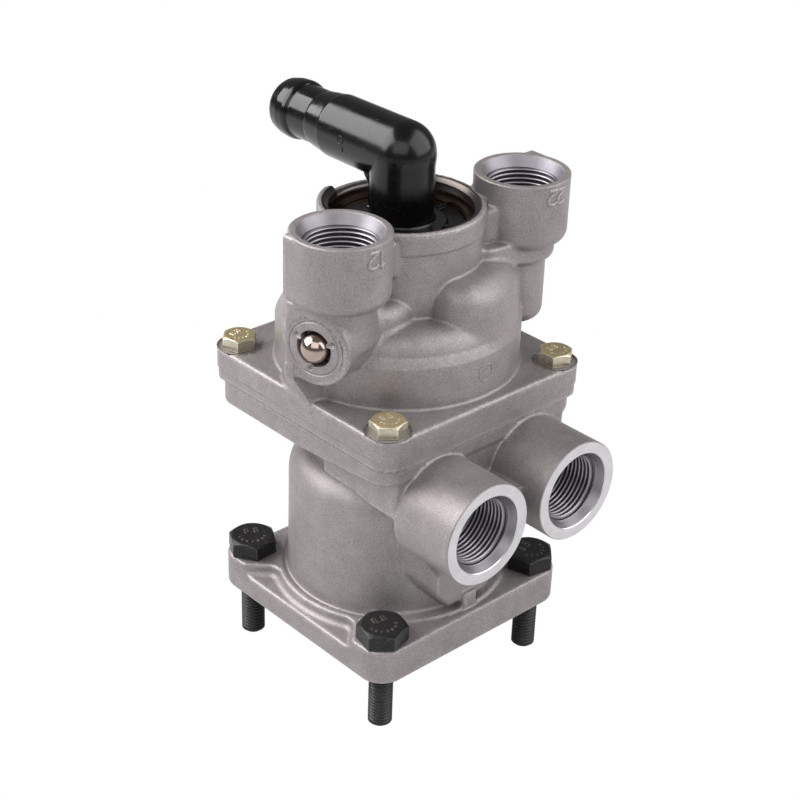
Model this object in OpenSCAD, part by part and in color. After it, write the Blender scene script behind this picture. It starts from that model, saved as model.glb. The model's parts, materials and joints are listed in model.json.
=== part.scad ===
// Dual circuit foot brake valve for compressed air.
// Two die-cast housings are bolted together on one upright axis, which is Z.
// Z = 0 is the underside of the square mounting flange, where the pedal's push rod comes in.
// The side ports face -Y, the two top ports stand at -X and +X, and the exhaust elbow points to +Y.

/* [Mounting flange] */
// Thickness of the flange at its corner pads
flange_t = 12; // [10:0.5:16]
// Corner radius of the mounting flange
flange_corner_r = 8.2; // [7.6:0.1:12]
// Distance between neighbouring mounting bolts
stud_spacing = 65.6; // [64:0.1:74]
// Depth of the four side pockets between the corner pads
pocket_depth = 4; // [2:0.5:6]
// Half width of the diagonal arms that carry the corner pads
pad_half_w = 9.7; // [8:0.1:12]
// Radius of the raised ring at the foot of the barrel
foot_ring_r = 38; // [36.5:0.1:39.5]

/* [Lower housing] */
// Radius of the lower barrel
lower_barrel_r = 34; // [33:0.1:35.5]
// Height of the joint plate's underside above the flange underside
plate_z = 72; // [70:0.5:80]
// Step from the upper flange's side in to the joint plate's side
plate_step = 1.6; // [0.5:0.1:2.5]
// Thickness of the joint plate
plate_t = 6.2; // [5:0.1:9]
// Corner radius of the joint plate
plate_corner_r = 7; // [5:0.1:9]
// Radius that rounds the barrel in under the joint plate
barrel_shoulder_r = 10; // [7:0.5:11]

/* [Side ports] */
// Half distance between the two side ports
side_port_x = 19.3; // [18.5:0.1:20.5]
// Height of the side port axes
side_port_z = 59.8; // [58.6:0.1:61]
// Distance of the side port faces from the main axis
side_port_reach = 62.6; // [60:0.1:72]
// Outer radius of a side port boss
side_port_r = 16.5; // [15.5:0.1:17]
// Distance of the web's front pad from the main axis
web_reach = 37; // [36:0.1:39]
// Half width of the web's front pad
web_half_w = 12.8; // [10:0.1:15]
// Height of the web's lower edge
web_bottom_z = 15.5; // [14:0.5:20]

/* [Port threads] */
// Wall radius of the tapped bores, the core of an M22 x 1.5 thread
thread_bore_r = 10.2; // [9.5:0.1:10.8]
// Radius of the plain mouth in front of the thread
port_mouth_r = 12.4; // [11.8:0.1:13]
// Depth of the plain mouth
port_mouth_depth = 3; // [2:0.5:4]
// Depth from the port face to the end of the thread
thread_depth = 17; // [14:0.5:19]
// Radius of the cast passage behind the thread
passage_r = 6.5; // [5:0.1:7]

/* [Upper housing] */
// Thickness of the upper flange
upper_flange_t = 10.8; // [9:0.1:13]
// Corner radius of the upper flange
upper_flange_corner_r = 7; // [5:0.1:9]
// Distance between neighbouring housing bolts
bolt_spacing = 70.4; // [69:0.1:76]
// Outer radius of the dome over the relay piston
dome_r = 38; // [36.5:0.1:39.5]
// Height of the dome's straight wall above the upper flange
dome_wall_h = 13.5; // [12:0.5:16]
// Radius of the dome's rounded shoulder
dome_edge_r = 9.9; // [8:0.1:11]
// Outer radius of the neck
neck_r = 25; // [24:0.1:25.4]
// Outer radius of the collar
collar_r = 25.7; // [25.5:0.1:27]
// Height of the collar's wide rim band
collar_band_h = 7.2; // [6:0.1:9]
// Height of the collar rim above the joint face
collar_h = 62; // [61:0.5:68]
// Inner radius of the collar
collar_bore_r = 21.9; // [21.5:0.1:22.5]
// Depth of the assembly notch in the collar rim
notch_depth = 2; // [1:0.1:3]
// Height of the air channel lobe above the dome's straight wall
lobe_h = 20.5; // [16:0.5:22]
// Radius that rounds the outer top edge of the lobe
lobe_edge_r = 8; // [5:0.5:10]

/* [Top ports] */
// Distance of the top port axes from the middle, to each side
top_port_x = 36.6; // [36:0.1:38]
// Distance of the top port axes from the middle, towards the side ports
top_port_y = 14.6; // [13:0.1:16]
// Outer radius of a top port boss
top_port_r = 15; // [14.4:0.1:16]
// Height of the top port faces above the collar rim
top_port_rise = 5.6; // [3:0.1:8]
// Length of the full-width part of a top port boss
top_port_len = 24.3; // [22:0.1:28]
// Radius that rounds the lower edge of a top port boss
top_port_edge_r = 5; // [2:0.5:6]
// Length of the squared corner on the outside of a top port boss
top_port_corner = 9; // [6:0.5:11]

/* [Ball plug] */
// Angle of the plugged cross drilling, from -X towards -Y
ball_angle = 18; // [15:1:21]
// Height of the cross drilling above the upper flange
ball_h = 22.4; // [21.5:0.1:24]
// Radius of the ball plug boss
ball_boss_r = 11.9; // [11:0.1:13]
// Distance of the boss face from the main axis
ball_reach = 49.3; // [48:0.1:51]
// Radius of the plug ball
ball_r = 4; // [3.6:0.1:4.2]
// Radius of the counterbore that the ball is staked in
ball_mouth_r = 5.2; // [4.8:0.1:5.6]
// Depth of the ball's centre behind the boss face
ball_depth = 2.2; // [1.8:0.1:3]

/* [Bores of the two circuits] */
// Radius of the lower bore, for the plunger and the primary piston
main_bore_r = 26; // [25:0.1:27]
// Height of the lower bore
main_bore_h = 48; // [47:0.5:50]
// Radius of the bore for the relay piston
relay_bore_r = 32; // [30.5:0.1:32.5]
// Height of the relay piston's bore above the joint face
relay_bore_h = 24.3; // [23:0.1:26]
// Radius of the two bores for the valve guides
valve_bore_r = 20; // [19:0.1:20.4]
// Radius of the two inlet seat openings
seat_r = 9.5; // [9:0.1:9.8]
// Thickness of the wall under each inlet seat
seat_wall = 6; // [5:0.1:7]
// Height of the sealing lip round each inlet seat
seat_lip_h = 1; // [0.6:0.1:1.5]
// Width of the sealing lip
seat_lip_w = 1.5; // [1:0.1:1.8]

/* [Valve train] */
// Radius of the plunger's stem
plunger_r = 10; // [9:0.1:11]
// Length of the plunger that stands out under the flange
plunger_out = 2.4; // [1:0.1:5]
// Radius of the dish for the push rod
push_seat_r = 12; // [9:0.5:15]
// Depth of the dish for the push rod
push_seat_depth = 2.4; // [1:0.1:3]
// Radius of the plunger's spring plate
plunger_plate_r = 17; // [15:0.5:19]
// Thickness of the plunger guide
plunger_guide_t = 7.8; // [7:0.1:8.5]
// Width of the dust seal's groove round the plunger
dust_seal_w = 4; // [3:0.1:5]
// Height of the dust seal
dust_seal_h = 2.6; // [2:0.1:3.4]
// Thickness of the primary piston
piston_t = 9; // [8.5:0.1:10]
// Height of the primary piston's underside at rest
piston_z = 34; // [33:0.1:34.5]
// Thickness of the relay piston
relay_t = 10; // [9.5:0.1:11]
// Height of the relay piston's feet
relay_foot_h = 4.8; // [4:0.1:6]
// Outer radius of the piston stems that open the valves
stem_r = 6; // [5.5:0.1:6.5]
// Radius of the exhaust passage through the stems
stem_bore_r = 4; // [3:0.1:4.4]
// Outer radius of the two valve tubes
valve_tube_r = 7; // [6.4:0.1:7.4]
// Radius of the exhaust passage through the valve tubes
valve_bore_in_r = 4.5; // [4:0.1:5]
// Length of the two valve tubes from the seat face
valve_tube_len = 19; // [18:0.1:20]
// Radius of the rubber faces of the valves
valve_face_r = 11.5; // [11.2:0.1:12.5]
// Thickness of the rubber faces
valve_face_t = 2.5; // [2:0.1:3]
// Thickness of the valve tubes' flanges
valve_flange_t = 2; // [1.5:0.1:2.5]
// Gap between a stem and its valve at rest, which is the open exhaust
exhaust_gap = 1; // [0.8:0.1:1.2]
// Cross section radius of the large seal rings
ring_section_r = 1.27; // [1.1:0.01:1.4]
// Cross section radius of the small seal rings
small_ring_section_r = 0.9; // [0.8:0.01:1]

/* [Springs] */
// Wire radius of the graduating spring
graduating_wire_r = 1.5; // [1.2:0.1:1.6]
// Coil radius of the graduating spring
graduating_coil_r = 12.5; // [11:0.1:13.5]
// Wire radius of the two piston return springs
return_wire_r = 0.9; // [0.7:0.05:1]
// Coil radius of the primary piston's return spring
return_coil_r = 14.5; // [14:0.1:15.5]
// Coil radius of the relay piston's return spring
relay_coil_r = 15.5; // [15:0.1:16.5]
// Wire radius of the two valve springs
valve_wire_r = 0.65; // [0.5:0.05:0.7]
// Coil radius of the two valve springs
valve_coil_r = 9.2; // [8.8:0.1:9.8]

/* [Exhaust elbow] */
// Outer radius of the upright tube
elbow_tube_r = 9.8; // [9:0.1:10]
// Outer radius of the bend and the thick arm
elbow_arm_r = 10; // [10:0.1:11]
// Inner radius of the elbow
elbow_bore_r = 6.8; // [6:0.1:7.2]
// Height of the arm's axis above the collar rim
elbow_axis_h = 15.5; // [15.2:0.1:22]
// Length of the thick arm from the main axis
elbow_thick_len = 28.5; // [26:0.5:34]
// Length of the tapered step
elbow_step_len = 8; // [5:0.5:10]
// Outer radius of the hose end
hose_r = 8.65; // [8.2:0.05:9]
// Length of the hose end before its bead
hose_len = 8; // [6:0.5:16]
// Radius of the bead that holds the hose
bead_r = 9.5; // [9.3:0.1:10]
// Length of the bead with its lead-in
bead_len = 10; // [8:0.5:12]
// Thickness of the elbow's base plate
elbow_plate_t = 4.4; // [4:0.1:5]
// Depth of the base plate's top below the collar rim
elbow_plate_depth = 6.2; // [5.6:0.1:7]

/* [Fasteners] */
// Radius of the mounting bolts
stud_r = 4; // [3.5:0.1:4.5]
// Width across the flats of a mounting bolt head
stud_head_w = 14; // [12:0.5:15]
// Height of a mounting bolt head
stud_head_h = 5.5; // [4.5:0.1:6.5]
// Length of a mounting bolt under its head
stud_len = 32.7; // [28:0.1:42]
// Radius of the housing bolts
bolt_r = 3; // [2.5:0.1:3.2]
// Width across the flats of a housing bolt head
bolt_head_w = 10; // [9:0.5:11]
// Height of a housing bolt head
bolt_head_h = 4.2; // [3.5:0.1:5]
// Depth of the spot face under a housing bolt head
spot_depth = 0.5; // [0.3:0.1:0.8]
// Thickness of the retaining clips
clip_t = 1.4; // [1.2:0.1:1.6]

/* [Clearances] */
// Running clearance of pistons, tubes and the plunger in their bores
run_gap = 0.06; // [0.03:0.01:0.09]
// Radial clearance of fixed pieces in their bores
seat_gap = 0.15; // [0.05:0.01:0.25]
// Radial clearance of moving pieces that need no fit
free_gap = 0.3; // [0.25:0.05:0.5]
// Radial clearance round a bolt
bolt_gap = 0.3; // [0.15:0.05:0.5]

/* [Hidden] */

$fn = 96;
eps = 0.02;
cast_color = "#a5a09c";
steel_color = "#c9c9c6";
black_steel_color = "#2b2b2d";
zinc_color = "#b8a877";
nylon_color = "#1d1c1f";
rubber_color = "#26262a";
brass_color = "#c2a25a";

// Widths of the three square plates, each with its corner round a bolt
flange_w = stud_spacing + 2 * flange_corner_r;
upper_flange_w = bolt_spacing + 2 * upper_flange_corner_r;
plate_w = upper_flange_w - 2 * plate_step;

// Rings and grooves shared by the valve guides and the elbow's plate
guide_ring_r = 1.1;
guide_groove_h = 2 * guide_ring_r + 0.2;
guide_groove_low = 1;
guide_ring_mid = guide_groove_low + guide_groove_h / 2;
guide_groove_depth = 2 * guide_ring_r + 0.2;
guide_floor_t = 3.5;
tube_groove_low = 0.8;
tube_groove_w = 2 * small_ring_section_r + 0.3;
relay_tube_wall = 3;

// Pistons: where their seal grooves start, and the grooves their springs stand in
primary_groove_low = 3;
relay_groove_low = 3.5;
piston_groove_h = 2.5 * ring_section_r;
spring_groove_depth = 4;
spring_groove_gap = 0.8;
plunger_plate_t = 3;
pilot_top = plunger_plate_t + 4;
piston_dish_depth = 2;

// Radial widths of the snap rings, and how far their grooves go in
guide_clip_w = 4.2;
valve_clip_w = 3.6;
elbow_clip_w = 3.4;
snap_groove_depth = 1.4;

// Spigot under the elbow's plate and the gap round it in the guide's cup
elbow_spigot_r = 12.4;
elbow_spigot_len = 4.5;
guide_cup_gap = 0.6;

// Passages, with the wall that stays between them and the valve bore
feed_r = 1.6;
drop_r = 4;
drop_wall = 3.4;
cross_r = 2.8;
delivery_bore_r = 4.5;

// The lower barrel's top, clear of the ceiling of its main bore, and the neck that holds the valve bore
barrel_top_z = main_bore_h + barrel_shoulder_r + 0.5;
lower_neck_r = valve_bore_r + 5;

// Heights of the housings
joint_z = plate_z + plate_t;
upper_flange_z = joint_z + upper_flange_t;
dome_wall_z = upper_flange_z + dome_wall_h;
dome_top_z = dome_wall_z + dome_edge_r;
collar_z = joint_z + collar_h;
collar_band_z = collar_z - collar_band_h;
top_port_z = collar_z + top_port_rise;
ball_z = upper_flange_z + ball_h;

// Heights of the two inlet seats
primary_seat_z = main_bore_h + seat_wall + seat_lip_h;
secondary_seat_z = joint_z + relay_bore_h + seat_wall - 1 + seat_lip_h;

// Clips and the pieces that they hold
clip_groove_h = clip_t + 0.2;
clip_edge = 2.2;
guide_floor_z = clip_edge + clip_groove_h + 0.2;
guide_top_z = guide_floor_z + plunger_guide_t;
valve_lift = 2;
relay_lift = 1.4;
spring_room = 7.5;
primary_guide_z = primary_seat_z + valve_face_t + valve_flange_t + spring_room;
primary_clip_z = joint_z - 2.6;
secondary_guide_z = secondary_seat_z + valve_face_t + valve_flange_t + spring_room - 1;
elbow_plate_top_z = collar_z - elbow_plate_depth;
elbow_plate_z = elbow_plate_top_z - elbow_plate_t;
collar_step_z = elbow_plate_z - 2.2;
elbow_clip_z = elbow_plate_top_z + 0.2;
elbow_axis_z = collar_z + elbow_axis_h;

// A square with round corners
module rounded_square(w, r) {
    square([w, w - 2 * r], center = true);
    square([w - 2 * r, w], center = true);
    for (x = [-1, 1], y = [-1, 1])
        translate([x * (w / 2 - r), y * (w / 2 - r)]) circle(r);
}

// Four copies at the corners of a square
module at_corners(spacing) {
    for (x = [-1, 1], y = [-1, 1])
        translate([x * spacing / 2, y * spacing / 2, 0]) children();
}

// A round tube
module tube(r_out, r_in, h) {
    difference() {
        cylinder(r = r_out, h = h);
        translate([0, 0, -1]) cylinder(r = r_in, h = h + 2);
    }
}

// An upright post with its lower edge rounded
module round_bottom_post(r, edge_r, z0, z1) {
    rotate_extrude() {
        translate([0, z0]) square([r - edge_r, z1 - z0]);
        translate([0, z0 + edge_r]) square([r, z1 - z0 - edge_r]);
        translate([r - edge_r, z0 + edge_r]) intersection() {
            circle(edge_r);
            translate([-edge_r, -edge_r]) square([2 * edge_r, edge_r]);
        }
    }
}

// A rubber ring of round section
module seal_ring(mean_r, section_r, z) {
    color(rubber_color)
        translate([0, 0, z]) rotate_extrude() translate([mean_r, 0]) circle(section_r, $fn = 48);
}

// A spring clip in its groove, open over a short gap
module spring_clip(r_out, width, z, gap_angle) {
    color(steel_color) translate([0, 0, z]) linear_extrude(clip_t) difference() {
        circle(r_out);
        circle(r_out - width);
        rotate(gap_angle) translate([0, -3]) square([r_out + 1, 6]);
    }
}

// A helical spring of round wire between two seats
module coil_spring(coil_r, wire_r, z0, z1, turns, wire_color) {
    sides = 8;
    steps = ceil(turns * 14);
    low = z0 + wire_r + 0.1;
    rise = z1 - z0 - 2 * wire_r - 0.2;
    points = [for (i = [0:steps], j = [0:sides - 1])
        let (a = 360 * turns * i / steps, b = 360 * j / sides, r = coil_r + wire_r * cos(b))
            [r * cos(a), r * sin(a), low + rise * i / steps + wire_r * sin(b)]];
    walls = [for (i = [0:steps - 1], j = [0:sides - 1])
        let (k = (j + 1) % sides)
            [i * sides + j, i * sides + k, (i + 1) * sides + k, (i + 1) * sides + j]];
    first_end = [for (j = [0:sides - 1]) sides - 1 - j];
    last_end = [for (j = [0:sides - 1]) steps * sides + j];
    color(wire_color) polyhedron(points, concat(walls, [first_end, last_end]), convexity = 6);
}

// A hexagon bolt with its head on z = 0 and its shank downwards, a little thinner for the length of its neck
module hex_bolt(r, head_w, head_h, length, neck_len, neck_step) {
    tip = r / 4;
    intersection() {
        cylinder(d = head_w * 2 / sqrt(3), h = head_h, $fn = 6);
        rotate_extrude() polygon([[0, 0], [head_w * 0.6, 0], [head_w * 0.6, head_h * 0.8],
            [head_w * 0.475, head_h], [0, head_h]]);
    }
    rotate_extrude() polygon([[0, eps], [r - neck_step, eps], [r - neck_step, -neck_len], [r, -neck_len],
        [r, tip - length], [r - tip, -length], [0, -length]]);
}

// The bore of a threaded port, with its mouth on z = 0 and its passage downwards
module port_bore(passage_len, bore_r) {
    translate([0, 0, -port_mouth_depth]) cylinder(r = port_mouth_r, h = port_mouth_depth + 1);
    translate([0, 0, -thread_depth]) cylinder(r = thread_bore_r, h = thread_depth);
    translate([0, 0, -passage_len]) cylinder(r = bore_r, h = passage_len);
}

// An inlet seat: the bore above it, its raised lip and its opening
module seat_bore(seat_z, top_z) {
    floor_z = seat_z - seat_lip_h;
    translate([0, 0, seat_z]) cylinder(r = valve_bore_r, h = top_z - seat_z);
    translate([0, 0, floor_z]) tube(valve_bore_r, seat_r + seat_lip_w, seat_lip_h + eps);
    translate([0, 0, floor_z - seat_wall - 1]) cylinder(r = seat_r, h = seat_wall + 3);
}

// Mounting flange: a plate with four corner pads and a ring, and a pocket on each side but the ports' side
module mounting_flange() {
    difference() {
        linear_extrude(flange_t) rounded_square(flange_w, flange_corner_r);
        translate([0, 0, flange_t - pocket_depth]) linear_extrude(pocket_depth + 1) difference() {
            square(flange_w + 2, center = true);
            circle(foot_ring_r);
            for (a = [45, -45]) rotate(a) square([2 * flange_w, 2 * pad_half_w], center = true);
            polygon([[0, 0], [-flange_w, -flange_w], [flange_w, -flange_w]]);
        }
        translate([0, 0, flange_t]) rotate_extrude()
            translate([lower_barrel_r + 0.8, 0]) circle(0.6, $fn = 32);
    }
}

// Lower barrel: a straight wall up to a rounded shoulder, and a narrower neck under the joint plate
module lower_barrel() {
    arc_z = barrel_top_z - barrel_shoulder_r;
    rotate_extrude() {
        square([lower_barrel_r, arc_z]);
        square([lower_barrel_r - barrel_shoulder_r, barrel_top_z]);
        square([lower_neck_r, plate_z + 1]);
        translate([lower_barrel_r - barrel_shoulder_r, arc_z]) intersection() {
            circle(barrel_shoulder_r);
            square(barrel_shoulder_r);
        }
    }
}

// Side port bosses with the block that joins them to the joint plate
module side_port_bosses() {
    for (s = [-1, 1])
        translate([s * side_port_x, -side_port_reach, side_port_z])
            rotate([-90, 0, 0]) cylinder(r = side_port_r, h = side_port_reach - 4);
    block_w = 2 * (side_port_x + side_port_r);
    block_z = side_port_z + 2;
    translate([-block_w / 2, -plate_w / 2, block_z])
        cube([block_w, plate_w / 2 - 4, plate_z - block_z + 1]);
}

// Tapered web under the side ports, with its flat front pad and its middle rib
module port_web() {
    root_w = side_port_x;
    root_y = sqrt(pow(lower_barrel_r, 2) - pow(root_w, 2));
    top_z = side_port_z + 3;
    low = web_bottom_z;
    foot_step = 3.5;
    side_step = 12.5;
    rib_w = 6;
    intersection() {
        linear_extrude(top_z) polygon([[-root_w, -root_y + 6], [-root_w, -root_y], [-web_half_w, -web_reach],
            [web_half_w, -web_reach], [root_w, -root_y], [root_w, -root_y + 6]]);
        rotate([90, 0, 0]) linear_extrude(web_reach + 1) polygon([[-root_w, top_z],
            [-root_w, low + side_step], [-web_half_w, low + foot_step], [foot_step - web_half_w, low],
            [web_half_w - foot_step, low], [web_half_w, low + foot_step], [root_w, low + side_step],
            [root_w, top_z]]);
    }
    translate([-rib_w / 2, -foot_ring_r - 0.5, flange_t - pocket_depth])
        cube([rib_w, foot_ring_r - lower_barrel_r + 4, low - flange_t + pocket_depth + 1]);
}

// Passages of the lower housing: supply straight into the valve chamber, delivery down to the piston
module lower_passages() {
    drop_x = side_port_x - 2.3;
    drop_y = -sqrt(pow(valve_bore_r + drop_wall + drop_r, 2) - pow(drop_x, 2));
    for (s = [-1, 1]) {
        depth = s < 0 ? side_port_reach - passage_r : side_port_reach - valve_bore_r;
        translate([s * side_port_x, -side_port_reach, side_port_z]) rotate([90, 0, 0])
            port_bore(depth, passage_r);
    }
    translate([drop_x, drop_y, main_bore_h - 5]) cylinder(r = drop_r, h = side_port_z - main_bore_h + 5);
    translate([0, -valve_bore_r - drop_wall - feed_r, main_bore_h - 2])
        cylinder(r = feed_r, h = joint_z - main_bore_h + 3);
}

module lower_housing() {
    color(cast_color) difference() {
        union() {
            mounting_flange();
            lower_barrel();
            translate([0, 0, plate_z]) linear_extrude(plate_t) rounded_square(plate_w, plate_corner_r);
            side_port_bosses();
            port_web();
        }
        translate([0, 0, -1]) cylinder(r = main_bore_r, h = main_bore_h + 1);
        translate([0, 0, clip_edge]) cylinder(r = main_bore_r + snap_groove_depth + 0.4, h = clip_groove_h);
        seat_bore(primary_seat_z, joint_z + 1);
        translate([0, 0, primary_clip_z]) cylinder(r = valve_bore_r + snap_groove_depth, h = clip_groove_h);
        lower_passages();
        translate([0, 0, joint_z - 1.8 * ring_section_r])
            tube(relay_bore_r + 3.6 * ring_section_r, relay_bore_r + 1.4 * ring_section_r,
                2 * ring_section_r + 1);
        at_corners(stud_spacing) translate([0, 0, -1]) cylinder(r = stud_r + bolt_gap, h = flange_t + 2);
        at_corners(bolt_spacing) translate([0, 0, plate_z - 1])
            cylinder(r = bolt_r + seat_gap, h = plate_t + 2);
    }
}

// Profile of the dome, the neck and the collar, turned about the main axis
module upper_shell() {
    arc_r = dome_edge_r;
    rotate_extrude() {
        translate([0, joint_z + 1]) square([dome_r, dome_wall_z - joint_z - 1]);
        translate([0, dome_wall_z - 1]) square([dome_r - arc_r, arc_r + 1]);
        translate([dome_r - arc_r, dome_wall_z]) intersection() {
            circle(arc_r);
            square([arc_r, arc_r]);
        }
        translate([0, dome_top_z - 1]) square([neck_r, collar_band_z - dome_top_z]);
        translate([0, collar_band_z - 5]) square([collar_r - 0.25, 5]);
        translate([0, collar_band_z]) square([collar_r, collar_band_h]);
        translate([dome_r - 1, upper_flange_z - 1]) polygon([[0, 0], [2.2, 0], [2.2, 1], [1, 2.2], [0, 2.2]]);
    }
}

// The air channel lobe: a rounded plan, trimmed to the dome's own wall, with a rounded top edge
module channel_lobe() {
    lobe_r = dome_r - 0.8;
    top_z = dome_wall_z + lobe_h;
    plan_r = 17.5;
    intersection() {
        translate([0, 0, upper_flange_z]) linear_extrude(top_z - upper_flange_z) {
            translate([9, -22]) circle(plan_r);
            translate([22, -14]) circle(plan_r);
            translate([9, -22]) rotate(31.6) translate([0, -plan_r]) square([15.3, 2 * plan_r]);
        }
        rotate_extrude() {
            translate([0, upper_flange_z]) square([lobe_r, top_z - lobe_edge_r - upper_flange_z]);
            translate([0, upper_flange_z]) square([lobe_r - lobe_edge_r, top_z - upper_flange_z]);
            translate([lobe_r - lobe_edge_r, top_z - lobe_edge_r]) intersection() {
                circle(lobe_edge_r);
                square(lobe_edge_r);
            }
        }
    }
}

// One top port boss: a wide post with a rounded foot and a squared outer corner
module top_port_boss(side) {
    foot_z = top_port_z - top_port_len;
    translate([side * top_port_x, -top_port_y, 0]) {
        round_bottom_post(top_port_r, top_port_edge_r, foot_z, top_port_z);
        translate([side > 0 ? 0 : -top_port_r + 0.3, 0, foot_z + top_port_edge_r])
            cube([top_port_r - 0.3, top_port_corner, top_port_len - top_port_edge_r - 0.6]);
    }
}

// Stepped column under the delivery port, with the passage to the relay piston's chamber
module delivery_column() {
    foot_z = top_port_z - top_port_len;
    translate([top_port_x, -top_port_y, 0]) {
        round_bottom_post(11.4, 2.5, foot_z - 5.7, foot_z + 1);
        round_bottom_post(9, 4, upper_flange_z + 7.5, foot_z);
    }
}

// Boss of the plugged cross drilling, with the column above it and the pedestal under it
module ball_plug_boss() {
    foot_z = top_port_z - top_port_len;
    edge_x = upper_flange_w / 2;
    boss_y = ball_reach * sin(ball_angle);
    flank_w = ball_boss_r - 2;
    flank_z = ball_z - ball_boss_r;
    rotate(180 + ball_angle) {
        translate([0, 0, ball_z]) rotate([0, 90, 0]) intersection() {
            cylinder(r = ball_boss_r, h = ball_reach);
            translate([-ball_boss_r, -flank_w, 0]) cube([2 * ball_boss_r, flank_w + ball_boss_r, ball_reach]);
        }
        translate([ball_reach - ball_boss_r, -flank_w, flank_z])
            cube([ball_boss_r, flank_w, foot_z + top_port_edge_r - flank_z]);
    }
    translate([-top_port_x, -top_port_y, ball_z]) cylinder(r = ball_boss_r - 1, h = foot_z - ball_z + 2);
    translate([0, 0, upper_flange_z - 1]) linear_extrude(ball_z - ball_boss_r - upper_flange_z + 5)
        polygon([[-edge_x, 5 - boss_y], [5 - dome_r, 5 - boss_y], [5 - dome_r, boss_y + 3],
            [-dome_r + 0.5, boss_y - 4.5], [-edge_x + 2, boss_y - 9.5], [-edge_x, boss_y - 15]]);
}

// Webs between the collar and the top port bosses
module collar_webs() {
    web_z = collar_band_z - 6;
    for (s = [-1, 1])
        translate([0, 0, web_z]) linear_extrude(collar_z - 2 - web_z)
            polygon([[s * 17, -18], [s * 25.5, -22], [s * 36, -14], [s * 28, 0], [s * 20, 14]]);
}

// Passages of the upper housing
module upper_passages() {
    cross_z = joint_z + relay_bore_h - 1.2;
    translate([-top_port_x, -top_port_y, top_port_z]) port_bore(top_port_z - ball_z, ball_r + 0.5);
    translate([top_port_x, -top_port_y, top_port_z]) port_bore(top_port_len, passage_r - 1);
    translate([top_port_x, -top_port_y, cross_z - cross_r])
        cylinder(r = delivery_bore_r, h = top_port_z - top_port_len - cross_z + cross_r + 2);
    translate([0, 0, cross_z]) rotate([0, 0, -atan(top_port_y / top_port_x)]) rotate([0, 90, 0])
        translate([0, 0, relay_bore_r - 4])
            cylinder(r = cross_r, h = norm([top_port_x, top_port_y]) - relay_bore_r + 4);
    rotate(180 + ball_angle) translate([0, 0, ball_z]) rotate([0, 90, 0]) {
        translate([0, 0, 10]) cylinder(r = ball_r - 0.6, h = ball_reach - 10);
        translate([0, 0, ball_reach - ball_depth - 3]) cylinder(r = ball_r + run_gap, h = ball_depth + 4);
        translate([0, 0, ball_reach - ball_depth + 1]) cylinder(r = ball_mouth_r, h = ball_depth + 4);
    }
}

module upper_housing() {
    notch_from = 100;
    notch_to = 150;
    color(cast_color) difference() {
        union() {
            translate([0, 0, joint_z]) linear_extrude(3.1)
                rounded_square(upper_flange_w - 0.5, upper_flange_corner_r);
            translate([0, 0, joint_z + 3]) linear_extrude(upper_flange_t - 3)
                rounded_square(upper_flange_w, upper_flange_corner_r);
            upper_shell();
            channel_lobe();
            top_port_boss(-1);
            top_port_boss(1);
            delivery_column();
            ball_plug_boss();
            collar_webs();
        }
        translate([0, 0, joint_z - 1]) cylinder(r = relay_bore_r, h = relay_bore_h + 1);
        seat_bore(secondary_seat_z, collar_step_z + 1);
        translate([0, 0, collar_step_z]) cylinder(r = collar_bore_r, h = collar_z - collar_step_z + 1);
        translate([0, 0, collar_z - 1.2]) cylinder(r1 = collar_bore_r, r2 = collar_bore_r + 1.3, h = 1.25);
        translate([0, 0, elbow_clip_z - 0.1])
            cylinder(r = collar_bore_r + snap_groove_depth, h = clip_groove_h);
        upper_passages();
        translate([0, 0, collar_z - notch_depth]) linear_extrude(notch_depth + 1)
            polygon(concat([[0, 0]], [for (a = [notch_from:10:notch_to]) [40 * cos(a), 40 * sin(a)]]));
        at_corners(bolt_spacing) {
            translate([0, 0, joint_z - 1]) cylinder(r = bolt_r + bolt_gap, h = upper_flange_t + 2);
            translate([0, 0, upper_flange_z - spot_depth])
                cylinder(r = bolt_head_w * 0.68, h = spot_depth + 1);
        }
    }
}

module housing_seal() {
    seal_ring(relay_bore_r + 2.5 * ring_section_r, ring_section_r * 0.88, joint_z - 0.9 * ring_section_r);
}

module mounting_bolts() {
    color(black_steel_color) at_corners(stud_spacing) translate([0, 0, flange_t])
        rotate(17) hex_bolt(stud_r, stud_head_w, stud_head_h, stud_len, flange_t + 0.4, 0.2);
}

module housing_bolts() {
    color(zinc_color) at_corners(bolt_spacing) translate([0, 0, upper_flange_z - spot_depth])
        rotate(17) hex_bolt(bolt_r, bolt_head_w, bolt_head_h,
            upper_flange_t + plate_t - spot_depth - 0.6, 1, 0);
}

module plug_ball() {
    color(steel_color) rotate(180 + ball_angle)
        translate([ball_reach - ball_depth, 0, ball_z]) sphere(ball_r);
}

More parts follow.
